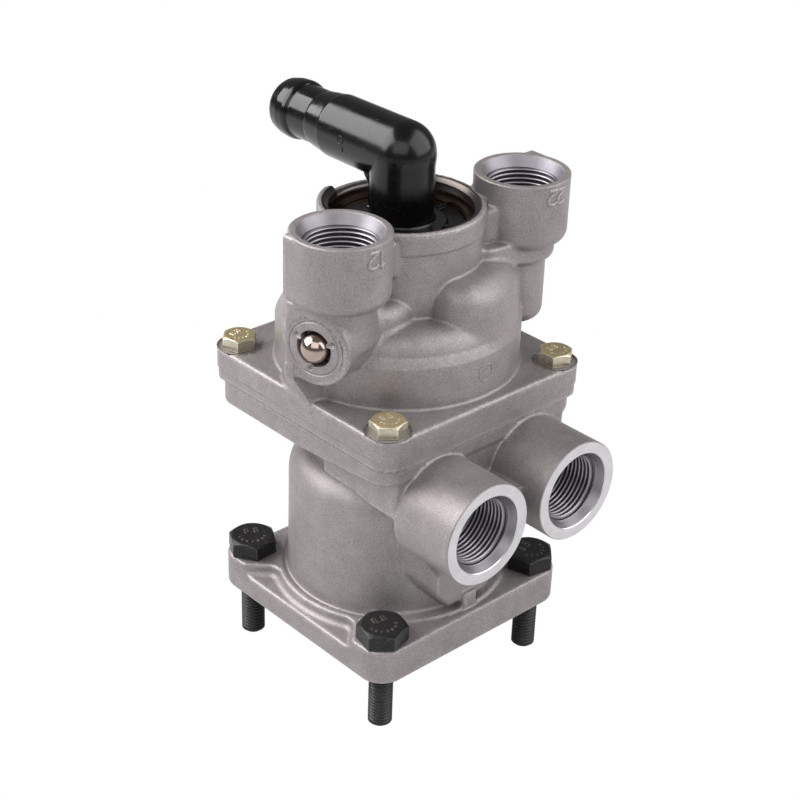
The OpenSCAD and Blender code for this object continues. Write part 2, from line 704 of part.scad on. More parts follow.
// Exhaust elbow: a base plate held in the collar, an upright tube, a round bend and the hose arm
module exhaust_elbow() {
    arm_end = elbow_thick_len + elbow_step_len + hose_len;
    end_y = arm_end + bead_len;
    spigot_z = elbow_plate_z - elbow_spigot_len;
    gusset_l = elbow_tube_r + 3;
    gusset_w = 5;
    rib_w = 1.6;
    rib_low = 0.6;
    rib_in = elbow_bore_r + 5;
    color(nylon_color) difference() {
        union() {
            rotate_extrude() difference() {
                translate([0, elbow_plate_z]) square([collar_bore_r - 0.1, elbow_plate_t]);
                translate([collar_bore_r - guide_groove_depth, elbow_plate_z + guide_groove_low])
                    square([guide_groove_depth + 1, guide_groove_h]);
            }
            translate([0, 0, spigot_z]) cylinder(r = elbow_spigot_r, h = elbow_spigot_len + 0.5);
            translate([0, 0, elbow_plate_top_z - 1]) cylinder(r = 14, h = 1.8);
            translate([0, 0, elbow_plate_top_z - 1])
                cylinder(r = elbow_tube_r, h = elbow_axis_z - elbow_plate_top_z + 1);
            translate([0, 0, elbow_axis_z]) sphere(elbow_arm_r);
            translate([0, 0, elbow_axis_z]) rotate([-90, 0, 0]) rotate_extrude() polygon([
                [0, 0], [elbow_arm_r, 0], [elbow_arm_r, elbow_thick_len],
                [hose_r, elbow_thick_len + elbow_step_len], [hose_r, arm_end], [bead_r, arm_end],
                [bead_r, arm_end + bead_len / 2], [bead_r - 1.6, end_y], [0, end_y]]);
            translate([-gusset_w / 2, 0, elbow_plate_top_z])
                cube([gusset_w, gusset_l, elbow_axis_z - elbow_plate_top_z]);
            for (a = [-30:60:330]) rotate(a) translate([rib_in, -rib_w / 2, elbow_plate_top_z - 1])
                cube([collar_bore_r - elbow_clip_w + 0.9 - rib_in, rib_w, 1 + rib_low]);
        }
        translate([0, 0, spigot_z - 1]) cylinder(r = elbow_bore_r + 1.4, h = elbow_plate_z - spigot_z + 1);
        translate([0, 0, spigot_z]) cylinder(r = elbow_bore_r, h = elbow_axis_z - spigot_z);
        translate([0, 0, elbow_axis_z]) sphere(elbow_bore_r);
        translate([0, 0, elbow_axis_z]) rotate([-90, 0, 0]) cylinder(r = elbow_bore_r, h = end_y + 1);
    }
}

module elbow_seal() {
    seal_ring(collar_bore_r - 0.06 - guide_ring_r, guide_ring_r, elbow_plate_z + guide_ring_mid);
}

module elbow_clip() {
    spring_clip(collar_bore_r + snap_groove_depth - 0.1, elbow_clip_w, elbow_clip_z, 125);
}

// Plunger: a stem with a cup for the push rod and a plate for the graduating spring
module plunger() {
    color(steel_color) difference() {
        rotate_extrude() polygon([[0, -plunger_out], [plunger_r - 1, -plunger_out],
            [plunger_r, 1 - plunger_out], [plunger_r, guide_top_z], [plunger_plate_r, guide_top_z],
            [plunger_plate_r, guide_top_z + plunger_plate_t],
            [plunger_r - 2, guide_top_z + plunger_plate_t], [plunger_r - 2.6, guide_top_z + pilot_top],
            [0, guide_top_z + pilot_top]]);
        translate([0, 0, push_seat_depth - push_seat_r - plunger_out]) sphere(push_seat_r);
    }
}

module plunger_guide() {
    color(cast_color) difference() {
        translate([0, 0, guide_floor_z]) cylinder(r = main_bore_r - seat_gap, h = plunger_guide_t);
        cylinder(r = plunger_r + run_gap, h = guide_top_z + 1);
        cylinder(r = plunger_r + dust_seal_w, h = guide_floor_z + dust_seal_h + free_gap + eps);
    }
}

module plunger_guide_clip() {
    spring_clip(main_bore_r + snap_groove_depth + 0.2, guide_clip_w, clip_edge + 0.1, 0);
}

module plunger_dust_seal() {
    color(rubber_color) translate([0, 0, guide_floor_z + free_gap])
        tube(plunger_r + dust_seal_w - seat_gap, plunger_r + free_gap, dust_seal_h);
}

module graduating_spring() {
    coil_spring(graduating_coil_r, graduating_wire_r, guide_top_z + plunger_plate_t,
        piston_z + piston_dish_depth, 4, steel_color);
}

// Primary piston: a disc with a seal groove, spring seats on both sides and the exhaust seat stem
module primary_piston() {
    top_z = piston_z + piston_t;
    stem_top = primary_seat_z - exhaust_gap;
    groove_z = piston_z + primary_groove_low;
    color(cast_color) difference() {
        rotate_extrude() {
            translate([0, piston_z]) square([main_bore_r - free_gap, piston_t]);
            translate([0, piston_z]) square([stem_r, stem_top - piston_z]);
        }
        translate([0, 0, groove_z])
            tube(main_bore_r + 1, main_bore_r - 2 * ring_section_r - 0.1, piston_groove_h);
        translate([0, 0, piston_z - 1])
            cylinder(r = graduating_coil_r + graduating_wire_r + 1.5, h = piston_dish_depth + 1);
        translate([0, 0, top_z - spring_groove_depth]) tube(return_coil_r + return_wire_r + spring_groove_gap,
            return_coil_r - return_wire_r - spring_groove_gap, spring_groove_depth + 1);
        translate([0, 0, stem_top - 7]) cylinder(r = stem_bore_r, h = 8);
    }
}

module primary_piston_seal() {
    seal_ring(main_bore_r - ring_section_r - 0.05, ring_section_r, 
        piston_z + primary_groove_low + piston_groove_h / 2);
}

module piston_return_spring() {
    coil_spring(return_coil_r, return_wire_r, piston_z + piston_t - spring_groove_depth, main_bore_h, 2.5,
        steel_color);
}

// A hollow valve tube with the flange that backs its rubber face
module valve_tube(seat_z) {
    back_z = seat_z + valve_face_t;
    color(brass_color) difference() {
        union() {
            translate([0, 0, back_z]) cylinder(r = valve_face_r - 0.5, h = valve_flange_t);
            translate([0, 0, back_z]) cylinder(r = valve_tube_r, h = valve_tube_len - valve_face_t);
        }
        translate([0, 0, seat_z - 1]) cylinder(r = valve_bore_in_r, h = valve_tube_len + 2);
    }
}

module valve_face(seat_z) {
    color(rubber_color) translate([0, 0, seat_z]) tube(valve_face_r, valve_bore_in_r, valve_face_t);
}

module valve_spring(seat_z, guide_z) {
    coil_spring(valve_coil_r, valve_wire_r, seat_z + valve_face_t + valve_flange_t, guide_z, 3.5,
        steel_color);
}

module primary_valve_tube() { valve_tube(primary_seat_z); }
module primary_valve_face() { valve_face(primary_seat_z); }
module primary_valve_spring() { valve_spring(primary_seat_z, primary_guide_z); }

// Guide of the primary valve: a narrow bore for the valve and a wide one for the relay piston's tube
module primary_valve_guide() {
    step_z = primary_guide_z + guide_floor_t;
    top_z = primary_clip_z - 0.1;
    color(brass_color) difference() {
        translate([0, 0, primary_guide_z]) cylinder(r = valve_bore_r - seat_gap, h = top_z - primary_guide_z);
        translate([0, 0, primary_guide_z - 1]) cylinder(r = valve_tube_r + run_gap, h = 6);
        translate([0, 0, step_z])
            cylinder(r = valve_tube_r + relay_tube_wall + run_gap, h = top_z - step_z + 1);
        translate([0, 0, primary_guide_z + guide_groove_low])
            tube(valve_bore_r + 1, valve_bore_r - guide_groove_depth, guide_groove_h);
        translate([0, 0, primary_guide_z + tube_groove_low])
            cylinder(r = valve_tube_r + tube_groove_w, h = tube_groove_w);
    }
}

module primary_guide_seal() {
    seal_ring(valve_bore_r - guide_ring_r - 0.05, guide_ring_r, primary_guide_z + guide_ring_mid);
}

module primary_tube_seal() {
    seal_ring(valve_tube_r + 0.05 + small_ring_section_r, small_ring_section_r,
        primary_guide_z + tube_groove_low + tube_groove_w / 2);
}

module primary_guide_clip() {
    spring_clip(valve_bore_r + snap_groove_depth - 0.1, valve_clip_w, primary_clip_z + 0.1, 90);
}

// Relay piston: a disc on feet, with a lower tube over the primary valve and an upper stem
module relay_piston() {
    disc_z = joint_z + relay_foot_h;
    top_z = disc_z + relay_t;
    stem_top = secondary_seat_z - exhaust_gap;
    tube_out = valve_tube_r + relay_tube_wall;
    tube_in = valve_tube_r + 0.6;
    tube_z = primary_guide_z + 4.5;
    color(cast_color) difference() {
        rotate_extrude() {
            translate([0, disc_z]) square([relay_bore_r - free_gap, relay_t]);
            translate([0, tube_z]) square([tube_out, disc_z - tube_z + 1]);
            translate([valve_bore_r + 1, joint_z]) square([3, relay_foot_h + 1]);
            translate([0, disc_z]) square([stem_r, stem_top - disc_z]);
        }
        translate([0, 0, tube_z - 1]) cylinder(r = tube_in, h = joint_z + 1 - tube_z);
        translate([0, 0, tube_z]) cylinder(r = stem_bore_r, h = stem_top - tube_z + 1);
        for (a = [0:45:315]) rotate(a) translate([valve_bore_r, -3, joint_z - 1])
            cube([6, 6, relay_foot_h]);
        translate([0, 0, disc_z + relay_groove_low])
            tube(relay_bore_r + 1, relay_bore_r - 2 * ring_section_r - 0.1, piston_groove_h);
        translate([0, 0, top_z - spring_groove_depth]) tube(relay_coil_r + return_wire_r + spring_groove_gap,
            relay_coil_r - return_wire_r - spring_groove_gap, spring_groove_depth + 1);
    }
}

module relay_piston_seal() {
    seal_ring(relay_bore_r - ring_section_r - 0.05, ring_section_r,
        joint_z + relay_foot_h + relay_groove_low + piston_groove_h / 2);
}

module relay_spring() {
    coil_spring(relay_coil_r, return_wire_r, joint_z + relay_foot_h + relay_t - spring_groove_depth,
        joint_z + relay_bore_h, 3.5, steel_color);
}

module secondary_valve_tube() { valve_tube(secondary_seat_z); }
module secondary_valve_face() { valve_face(secondary_seat_z); }
module secondary_valve_spring() { valve_spring(secondary_seat_z, secondary_guide_z); }

// Guide of the secondary valve, with a cup for the elbow's spigot and a flange on the collar's step
module secondary_valve_guide() {
    cup_z = secondary_guide_z + guide_floor_t;
    flange_top = collar_step_z + 2;
    color(brass_color) difference() {
        union() {
            translate([0, 0, secondary_guide_z])
                cylinder(r = valve_bore_r - seat_gap, h = flange_top - secondary_guide_z);
            translate([0, 0, collar_step_z])
                cylinder(r = collar_bore_r - seat_gap, h = flange_top - collar_step_z);
        }
        translate([0, 0, secondary_guide_z - 1]) cylinder(r = valve_tube_r + run_gap, h = 6);
        translate([0, 0, cup_z]) cylinder(r = elbow_spigot_r + guide_cup_gap, h = flange_top - cup_z + 1);
        translate([0, 0, secondary_guide_z + guide_groove_low])
            tube(valve_bore_r + 1, valve_bore_r - guide_groove_depth, guide_groove_h);
        translate([0, 0, secondary_guide_z + tube_groove_low])
            cylinder(r = valve_tube_r + tube_groove_w, h = tube_groove_w);
    }
}

module secondary_guide_seal() {
    seal_ring(valve_bore_r - guide_ring_r - 0.05, guide_ring_r, secondary_guide_z + guide_ring_mid);
}

module secondary_tube_seal() {
    seal_ring(valve_tube_r + 0.05 + small_ring_section_r, small_ring_section_r,
        secondary_guide_z + tube_groove_low + tube_groove_w / 2);
}

lower_housing();
upper_housing();
housing_seal();
mounting_bolts();
housing_bolts();
plug_ball();
exhaust_elbow();
elbow_seal();
elbow_clip();
plunger();
plunger_guide();
plunger_guide_clip();
plunger_dust_seal();
graduating_spring();
primary_piston();
primary_piston_seal();
piston_return_spring();
primary_valve_tube();
primary_valve_face();
primary_valve_spring();
primary_valve_guide();
primary_guide_seal();
primary_tube_seal();
primary_guide_clip();
relay_piston();
relay_piston_seal();
relay_spring();
secondary_valve_tube();
secondary_valve_face();
secondary_valve_spring();
secondary_valve_guide();
secondary_guide_seal();
secondary_tube_seal();
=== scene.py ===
# %% [markdown]
# # Dual circuit foot brake valve: the visual model
#
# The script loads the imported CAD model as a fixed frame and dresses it.
# The two die-castings are rebuilt as smooth distance fields, because a casting
# has a soft fillet in every corner, and a distance field gives every fillet its
# own radius. Turned and moulded pieces are profiles swept on numpy grids.
# All shapes are worked out in millimetres and turned to metres at the end.

# %% Load the frame
import json
import math

import bpy
import numpy as np
from mathutils import Matrix, Vector


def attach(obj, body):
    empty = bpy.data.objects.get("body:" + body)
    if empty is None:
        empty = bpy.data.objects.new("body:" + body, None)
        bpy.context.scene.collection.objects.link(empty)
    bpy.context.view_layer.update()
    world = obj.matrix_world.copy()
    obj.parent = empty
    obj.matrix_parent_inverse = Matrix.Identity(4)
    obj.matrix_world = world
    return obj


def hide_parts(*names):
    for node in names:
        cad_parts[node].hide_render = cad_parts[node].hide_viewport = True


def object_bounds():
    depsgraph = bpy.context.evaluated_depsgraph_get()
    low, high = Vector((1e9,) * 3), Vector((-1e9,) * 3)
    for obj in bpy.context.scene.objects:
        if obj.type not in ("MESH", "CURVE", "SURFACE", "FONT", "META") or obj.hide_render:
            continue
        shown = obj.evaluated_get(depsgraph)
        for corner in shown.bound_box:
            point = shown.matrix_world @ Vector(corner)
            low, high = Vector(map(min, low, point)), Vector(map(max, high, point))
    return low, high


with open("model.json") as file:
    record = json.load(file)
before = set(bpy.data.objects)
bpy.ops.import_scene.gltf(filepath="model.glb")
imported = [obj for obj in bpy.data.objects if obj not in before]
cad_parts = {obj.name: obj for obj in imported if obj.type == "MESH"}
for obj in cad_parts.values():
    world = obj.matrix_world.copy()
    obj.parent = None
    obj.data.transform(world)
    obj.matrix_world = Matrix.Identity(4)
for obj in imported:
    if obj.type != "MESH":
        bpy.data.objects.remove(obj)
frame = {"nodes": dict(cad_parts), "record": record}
cad_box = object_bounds()
MM = 0.001

# %% [markdown]
# ## Camera
#
# A pinhole camera stands at the photograph's place: in front of the corner
# between the side ports and the left top port, about 29 degrees above level.
# It could be aimed at an empty with a Track To constraint, but a photograph is
# also rolled a little, so its three axes are built from azimuth, elevation and
# roll, and go straight into the object's matrix.

# %% Camera at the photograph's viewing angle
AZ, EL, ROLL = math.radians(-43.15), math.radians(28.98), math.radians(1.94)
FOCAL_PX, FRAME_PX, SENSOR = 1785.11, 800.0, 36.0
RIGHT_OF_AXIS, AIM_HEIGHT, DISTANCE = 1.526, 71.7, 570.55
back = Vector((math.sin(AZ) * math.cos(EL), -math.cos(AZ) * math.cos(EL), math.sin(EL)))
right = Vector((math.cos(AZ), math.sin(AZ), 0.0))
up = back.cross(right)
right_rolled = right * math.cos(ROLL) + up * math.sin(ROLL)
up_rolled = up * math.cos(ROLL) - right * math.sin(ROLL)
camera_data = bpy.data.cameras.new("camera")
camera_data.sensor_width = SENSOR
camera_data.lens = FOCAL_PX * SENSOR / FRAME_PX
camera_data.clip_start = 0.01
camera_data.clip_end = 20.0
camera = bpy.data.objects.new("camera", camera_data)
bpy.context.scene.collection.objects.link(camera)
turn = Matrix((right_rolled, up_rolled, back)).transposed()
place = (right * RIGHT_OF_AXIS + Vector((0.0, 0.0, AIM_HEIGHT)) + back * DISTANCE) * MM
camera.matrix_world = Matrix.Translation(place) @ turn.to_4x4()
bpy.context.scene.camera = camera
print("camera: lens", round(camera_data.lens, 1), "mm, at", [round(v, 3) for v in place])

# %% [markdown]
# ## Distance fields
#
# A distance field gives, for any point, how far it lies outside the surface
# (positive) or inside it (negative). Boxes and posts have simple formulas.
# Two bodies join with a fillet of radius r by taking, near the corner, r minus
# the length of the vector (r - a, r - b), which is a quarter circle there.

# %% Building blocks of the distance fields


def join(a, b, r):
    """Union of two fields. In the corner the surface is a quarter circle of radius r."""
    hollow = np.hypot(np.maximum(r - a, 0), np.maximum(r - b, 0))
    return np.maximum(r, np.minimum(a, b)) - hollow


def common(a, b, r):
    """Intersection of two fields, its outer corner rounded with radius r."""
    bulge = np.hypot(np.maximum(r + a, 0), np.maximum(r + b, 0))
    return np.minimum(-r, np.maximum(a, b)) + bulge


def cut(a, b, r):
    """Field a with field b taken away, the mouth's edge rounded with radius r."""
    return common(a, -b, r)


def lowest(fields):
    """Plain union of any number of fields."""
    out = None
    for field in fields:
        out = field if out is None else np.minimum(out, field)
    return out


def rectangle(x, y, half_x, half_y, r):
    """Flat distance to a rectangle round the origin with corner radius r."""
    qx = np.abs(x) - half_x + r
    qy = np.abs(y) - half_y + r
    return np.minimum(np.maximum(qx, qy), 0) + np.hypot(np.maximum(qx, 0), np.maximum(qy, 0)) - r


def slab(flat, z, z0, z1, r):
    """A flat distance raised from z0 to z1, with both rims rounded with radius r."""
    qd = flat + r
    qz = np.abs(z - 0.5 * (z0 + z1)) - 0.5 * (z1 - z0) + r
    return np.minimum(np.maximum(qd, qz), 0) + np.hypot(np.maximum(qd, 0), np.maximum(qz, 0)) - r


def post(x, y, z, cx, cy, radius, z0, z1, r):
    """An upright cylinder with rounded rims."""
    return slab(np.hypot(x - cx, y - cy) - radius, z, z0, z1, r)


def capsule(x, y, ax, ay, bx, by):
    """Flat distance to the line from a to b."""
    dx, dy = bx - ax, by - ay
    t = np.clip(((x - ax) * dx + (y - ay) * dy) / (dx * dx + dy * dy), 0, 1)
    return np.hypot(x - ax - t * dx, y - ay - t * dy)


def polygon(x, y, corners):
    """Flat signed distance to a convex polygon given counterclockwise."""
    far = None
    n = len(corners)
    for i in range(n):
        (ax, ay), (bx, by) = corners[i], corners[(i + 1) % n]
        length = math.hypot(bx - ax, by - ay)
        side = ((x - ax) * (by - ay) - (y - ay) * (bx - ax)) / length
        far = side if far is None else np.maximum(far, side)
    return far


# %% [markdown]
# ## From a field to a mesh
#
# The field is sampled on a cubic grid. Each cell that the surface crosses gets
# one vertex, the mean of the crossings on its edges, and each crossed grid edge
# joins the four cells round it with one face. The vertices then slide along the
# gradient onto the exact surface, and the gradient also gives their normals, so
# that the fillets shade smoothly. A Remesh modifier on overlapping shapes could
# weld them too, but it rounds nothing, and it would lose the crisp bores.

# %% Surface of a distance field
PLANES_AT_ONCE = 24
SLIDES = 4
EDGE_DEPTH, EDGE_SPAN = 1.8, 0.45


def gradient(field, p, step):
    """Slope of the field at points p, from differences over a short step each way."""
    g = np.empty_like(p)
    for axis in range(3):
        d = np.zeros(3, np.float32)
        d[axis] = step
        g[:, axis] = field(*(p + d).T) - field(*(p - d).T)
    return g / (2 * step)


def surface_of(field, lo, hi, h):
    """Vertices, quads and unit normals of the surface where the field is zero, in millimetres."""
    axes = [np.arange(lo[i] - 1.5 * h, hi[i] + 2.5 * h, h, dtype=np.float32) for i in range(3)]
    values = np.empty([len(a) for a in axes], np.float32)
    for start in range(0, len(axes[0]), PLANES_AT_ONCE):
        planes = slice(start, start + PLANES_AT_ONCE)
        values[planes] = field(*np.meshgrid(axes[0][planes], axes[1], axes[2], indexing="ij"))
    inside = values < 0
    count = np.zeros([n - 1 for n in values.shape], np.int8)
    corner = [(i, j, k) for i in (0, 1) for j in (0, 1) for k in (0, 1)]
    shape = count.shape
    for i, j, k in corner:
        count += inside[i:i + shape[0], j:j + shape[1], k:k + shape[2]]
    cells = np.argwhere((count > 0) & (count < 8))
    number = np.full(shape, -1, np.int64)
    number[tuple(cells.T)] = np.arange(len(cells))
    total = np.zeros((len(cells), 3), np.float64)
    hits = np.zeros(len(cells))
    for axis in range(3):
        for off in corner:
            if off[axis]:
                continue
            a = cells + off
            b = a.copy()
            b[:, axis] += 1
            fa, fb = values[tuple(a.T)], values[tuple(b.T)]
            crossed = (fa < 0) != (fb < 0)
            t = np.where(crossed, fa / np.where(crossed, fa - fb, 1), 0)
            p = a.astype(np.float64)
            p[:, axis] += t
            total[crossed] += p[crossed]
            hits[crossed] += 1
    origin = np.array([a[0] for a in axes])
    verts = (total / hits[:, None] * h + origin).astype(np.float32)
    quads = []
    for axis in range(3):
        u, v = [(1, 2), (2, 0), (0, 1)][axis]
        lower = np.moveaxis(inside, axis, 0)[:-1]
        upper = np.moveaxis(inside, axis, 0)[1:]
        crossed = np.argwhere(np.moveaxis(lower != upper, 0, axis))
        crossed = crossed[(crossed[:, u] > 0) & (crossed[:, v] > 0)]
        crossed = crossed[(crossed[:, u] < shape[u]) & (crossed[:, v] < shape[v])]
        ring = []
        for du, dv in ((1, 1), (0, 1), (0, 0), (1, 0)):
            c = crossed.copy()
            c[:, u] -= du
            c[:, v] -= dv
            ring.append(number[tuple(c.T)])
        quad = np.stack(ring, 1)
        flip = ~inside[tuple(crossed.T)]
        quad[flip] = quad[flip][:, ::-1]
        quads.append(quad)
    quads = np.concatenate(quads)
    for _ in range(SLIDES):
        f = field(*verts.T)
        g = gradient(field, verts, 0.04)
        move = g * (f / np.maximum((g * g).sum(1), 0.2))[:, None]
        length = np.linalg.norm(move, axis=1, keepdims=True)
        verts = verts - move * np.minimum(1, 0.4 * h / np.maximum(length, 1e-9))
    normal = gradient(field, verts, 0.1)
    normal /= np.maximum(np.linalg.norm(normal, axis=1, keepdims=True), 1e-9)
    return verts, quads, normal


def new_object(name, verts, faces, normals=None):
    """A smooth mesh object from arrays in millimetres, with all faces of the same number of corners."""
    mesh = bpy.data.meshes.new(name)
    n, k = faces.shape
    mesh.vertices.add(len(verts))
    mesh.vertices.foreach_set("co", (np.asarray(verts, np.float32) * MM).ravel())
    mesh.loops.add(n * k)
    mesh.loops.foreach_set("vertex_index", faces.astype(np.int32).ravel())
    mesh.polygons.add(n)
    mesh.polygons.foreach_set("loop_start", np.arange(0, n * k, k, dtype=np.int32))
    mesh.update(calc_edges=True)
    mesh.validate()
    mesh.polygons.foreach_set("use_smooth", np.full(len(mesh.polygons), True))
    if normals is not None:
        mesh.normals_split_custom_set_from_vertices(np.asarray(normals, np.float32))
    ob = bpy.data.objects.new(name, mesh)
    bpy.context.scene.collection.objects.link(ob)
    print(name + ":", len(mesh.vertices), "vertices,", len(mesh.polygons), "faces")
    return ob


def convexity(field, verts, normal, depth, span):
    """0 on a flat face, 1 on a sharp outer edge.

    Going in from a flat face by the depth, the field falls by the depth, but
    behind an outer edge it falls by less. The span is the difference that counts as 1.
    """
    return np.clip((field(*(verts - depth * normal).T) + depth) / span, 0, 1)


def store_edge(ob, values):
    """Keeps a value between 0 and 1 at each vertex, by which the materials turn lighter: wear on edges, and
    on the raised port numbers partly a painted highlight.
    """
    if len(ob.data.vertices) == len(values):
        ob.data.attributes.new("edge", "FLOAT", "POINT").data.foreach_set("value", values.astype(np.float32))


def field_object(name, field, lo, hi, h, body=None):
    """A smooth object whose surface is the zero of a distance field, with its worn edges.

    body is the field without its bores, so that a thin wall does not count as an edge.
    """
    verts, quads, normal = surface_of(field, lo, hi, h)
    ob = new_object(name, verts, quads, normal)
    store_edge(ob, convexity(body or field, verts, normal, EDGE_DEPTH, EDGE_SPAN))
    return ob


def grid_faces(rows, cols, wrap):
    """Quads of a grid of rows times cols vertices. wrap joins the last column to the first.

    A face points along the way from column to column, crossed with the way from row to row.
    """
    i, j = np.meshgrid(np.arange(rows - 1), np.arange(cols if wrap else cols - 1), indexing="ij")
    k = (j + 1) % cols
    corners = [i * cols + j, i * cols + k, (i + 1) * cols + k, (i + 1) * cols + j]
    return np.stack(corners, -1).reshape(-1, 4)


# %% [markdown]
# ## Lower housing
#
# The lower of the two die-castings: a square mounting flange with pockets
# between its corner pads, a barrel, a joint plate, and a block with the two side
# ports over a tapered web. It could be modelled with booleans and a Bevel
# modifier, but a bevel fails where many fillets meet. In a distance field each
# join has its own radius, and any number of them may meet.

# %% Driving sizes of the lower housing, in millimetres
SIDE_X, SIDE_Z, SIDE_REACH = 19.3, 59.8, 62.6
SIDE_R, SIDE_BORE = 16.5, 14.0
MOUNT_HALF, MOUNT_TOP = 41.0, 12.0
MOUNT_BOLT = 32.8
BARREL_R, BARREL_TOP = 34.0, 57.3
PLATE_HALF, PLATE_TOP = 40.6, 78.2
WEB_HALF, WEB_FOOT = 13.3, 8.2
JOINT_HOLE = 35.2
PISTON_BORE, VALVE_BORE, TUBE_BORE = 26.0, 20.0, 9.5
SEAT_RING = 11.0

# %% Lower housing as a field


def lower_outside(x, y, z):
    """Outer shape of the lower casting."""
    r = np.hypot(x, y)
    flange = slab(rectangle(x, y, MOUNT_HALF, MOUNT_HALF, 8.2), z, 0.0, MOUNT_TOP, 0.9)
    # pockets between the four corner pads
    diagonal = np.minimum(np.abs(x - y), np.abs(x + y)) * math.sqrt(0.5) - 9.7
    keep = join(r - 38.0, diagonal, 3.0)
    keep = np.minimum(keep, (y + np.abs(x)) * 0.7)
    pocket = slab(-keep, z, 8.2, 30.0, 2.2)
    flange = cut(flange, pocket, 1.0)
    # raised ring round the barrel's foot, and the groove beside it
    step = slab(np.maximum(r - 38.3, y + 21.0), z, 6.0, MOUNT_TOP + 0.8, 0.8)
    flange = join(flange, step, 0.7)
    groove = np.maximum(np.hypot(r - 35.0, z - MOUNT_TOP - 0.2) - 0.9, -21.5 - y)
    flange = cut(flange, groove, 0.5)
    # barrel with its rounded shoulder, then the narrower neck
    wall = r - BARREL_R - 0.25 * np.clip((40 - z) / 30, 0, 1)
    barrel = common(wall, z - BARREL_TOP, 10.5)
    barrel = np.maximum(barrel, 8.0 - z)
    solid = join(flange, barrel, 1.2)
    neck = np.maximum(r - 25.0, np.abs(z - 64) - 11)
    solid = join(solid, neck, 3.0)
    # joint plate, its lower edge rising towards the side ports, and port block, its edge falling
    plate_foot = 69.6 - 0.075 * np.minimum(y + 2, 0)
    plate = slab(rectangle(x, y, PLATE_HALF, PLATE_HALF, 7.0), z, plate_foot, PLATE_TOP, 1.0)
    low = 62.1 + 0.03 * np.clip(y + 6.5, -14, 0) - 0.17 * np.clip(-y - 21, 0, 8)
    block = np.maximum(common(rectangle(x, y + 23.4, 36.0, 16.8, 1.6), low - z, 0.9), z - 76.0)
    # side-port bosses, each with a thinner core back into the block
    q = np.hypot(np.abs(x) - SIDE_X, z - SIDE_Z)
    boss = slab(q - SIDE_R, y, -SIDE_REACH + 0.7, -39.3, 0.4)
    boss = np.minimum(boss, np.maximum(q - 9.0, np.abs(y + 30) - 14))
    side = join(boss, block, 0.5)
    # chin under the two bosses, leaning back down to the web's front pad
    chin = polygon(x, z, [(-WEB_HALF, 29), (WEB_HALF, 29), (30, 63), (-30, 63)])
    chin = np.maximum(np.maximum(chin, (-y - 37 - 0.5 * (z - 29)) / 1.12), y + 20)
    side = join(side, chin, 1.5)
    # tapered web, seen from above and from the front
    plan = [(-WEB_HALF, -37), (WEB_HALF, -37), (19.8, -27.6), (19.8, -10), (-19.8, -10), (-19.8, -27.6)]
    face = [(-WEB_FOOT, 14.4), (WEB_FOOT, 14.4), (20.5, 28), (20.5, 63), (-20.5, 63), (-20.5, 28)]
    web = common(polygon(x, y, plan), polygon(x, z, face), 1.8)
    rib = slab(rectangle(x, y + 33.5, 3.0, 5.0, 1.0), z, 6.0, 18.0, 0.5)
    solid = join(solid, side, 0.7)
    solid = join(solid, web, 0.6)
    solid = join(solid, rib, 0.8)
    solid = join(solid, plate, 1.0)
    return solid


def lower_cuts(x, y, z):
    """Machined hollows of the lower casting."""
    r = np.hypot(x, y)
    # (bore, from, to), a rim of 0.1 mm on each: piston, clip groove, valve tube, seat, valve, clip groove
    seat = np.maximum(r - VALVE_BORE, SEAT_RING - r)
    bores = ((r - PISTON_BORE, -5.0, 48.0), (r - PISTON_BORE - 1.8, 2.2, 3.8), (r - TUBE_BORE, 40.0, 60.0),
             (seat, 54.0, 60.0), (r - VALVE_BORE, 55.0, 90.0), (r - VALVE_BORE - 1.4, 75.6, 77.2))
    hollow = lowest(slab(flat, z, z0, z1, 0.1) for flat, z0, z1 in bores)
    # side ports and their passages
    q = np.hypot(np.abs(x) - SIDE_X, z - SIDE_Z)
    port = np.minimum(np.maximum(q - SIDE_BORE, y + 45.4), np.maximum(q - 6.5, y + 19.0))
    # holes of the mounting bolts and of the housing bolts
    bolt = np.hypot(np.abs(x) - MOUNT_BOLT, np.abs(y) - MOUNT_BOLT) - 4.3
    small = np.hypot(np.abs(x) - JOINT_HOLE, np.abs(y) - JOINT_HOLE) - 3.15
    return lowest((hollow, port, np.maximum(bolt, z - 30), np.maximum(small, 74.5 - z)))


def lower_field(x, y, z):
    """The lower casting with its hollows."""
    return cut(lower_outside(x, y, z), lower_cuts(x, y, z), 0.15)


# %% [markdown]
# ## Upper housing
#
# The upper die-casting: a square flange, a dome over the relay piston, a neck
# and collar for the exhaust, two top ports, and the boss of the plugged cross
# drilling. Sculpting would give soft forms without sizes, so this is a field
# again, and every boss keeps its measured radius and height.

# %% Driving sizes of the upper housing, in millimetres
TOP_X, TOP_Y, TOP_FACE, TOP_R = 36.63, 14.55, 145.8, 15.0
FLANGE_HALF, FOOT_HALF, FLANGE_TOP = 42.2, 41.9, 89.0
JOINT_BOLT, JOINT_SEAT = 35.17, 88.55
DOME_R, DOME_TOP, DOME_BEND = 38.3, 112.4, 102.8
COLLAR_R, COLLAR_TOP = 25.7, 140.2
BALL_AZ, BALL_Z, BALL_FACE, BALL_FLANK = math.radians(198), 111.4, 49.3, 9.8
NOTCH_AT, NOTCH_HALF, NOTCH_FLOOR = 86.0, 26.0, 137.6
RELAY_BORE, MOUTH_BORE = 32.0, 21.9

# %% Upper housing as a field


def wall_radius(z):
    """The dome wall leans in by 3 mm in 10 above its straight part, and then by 1 in 10."""
    return DOME_R - 0.3 * np.clip(z - DOME_BEND, 0, 3) - 0.1 * np.clip(z - DOME_BEND - 3, 0, 20)


def ball_frame(x, y):
    """Distance from the valve's axis along the ball boss's axis, and sideways from that axis."""
    ax, ay = math.cos(BALL_AZ), math.sin(BALL_AZ)
    return x * ax + y * ay, y * ax - x * ay


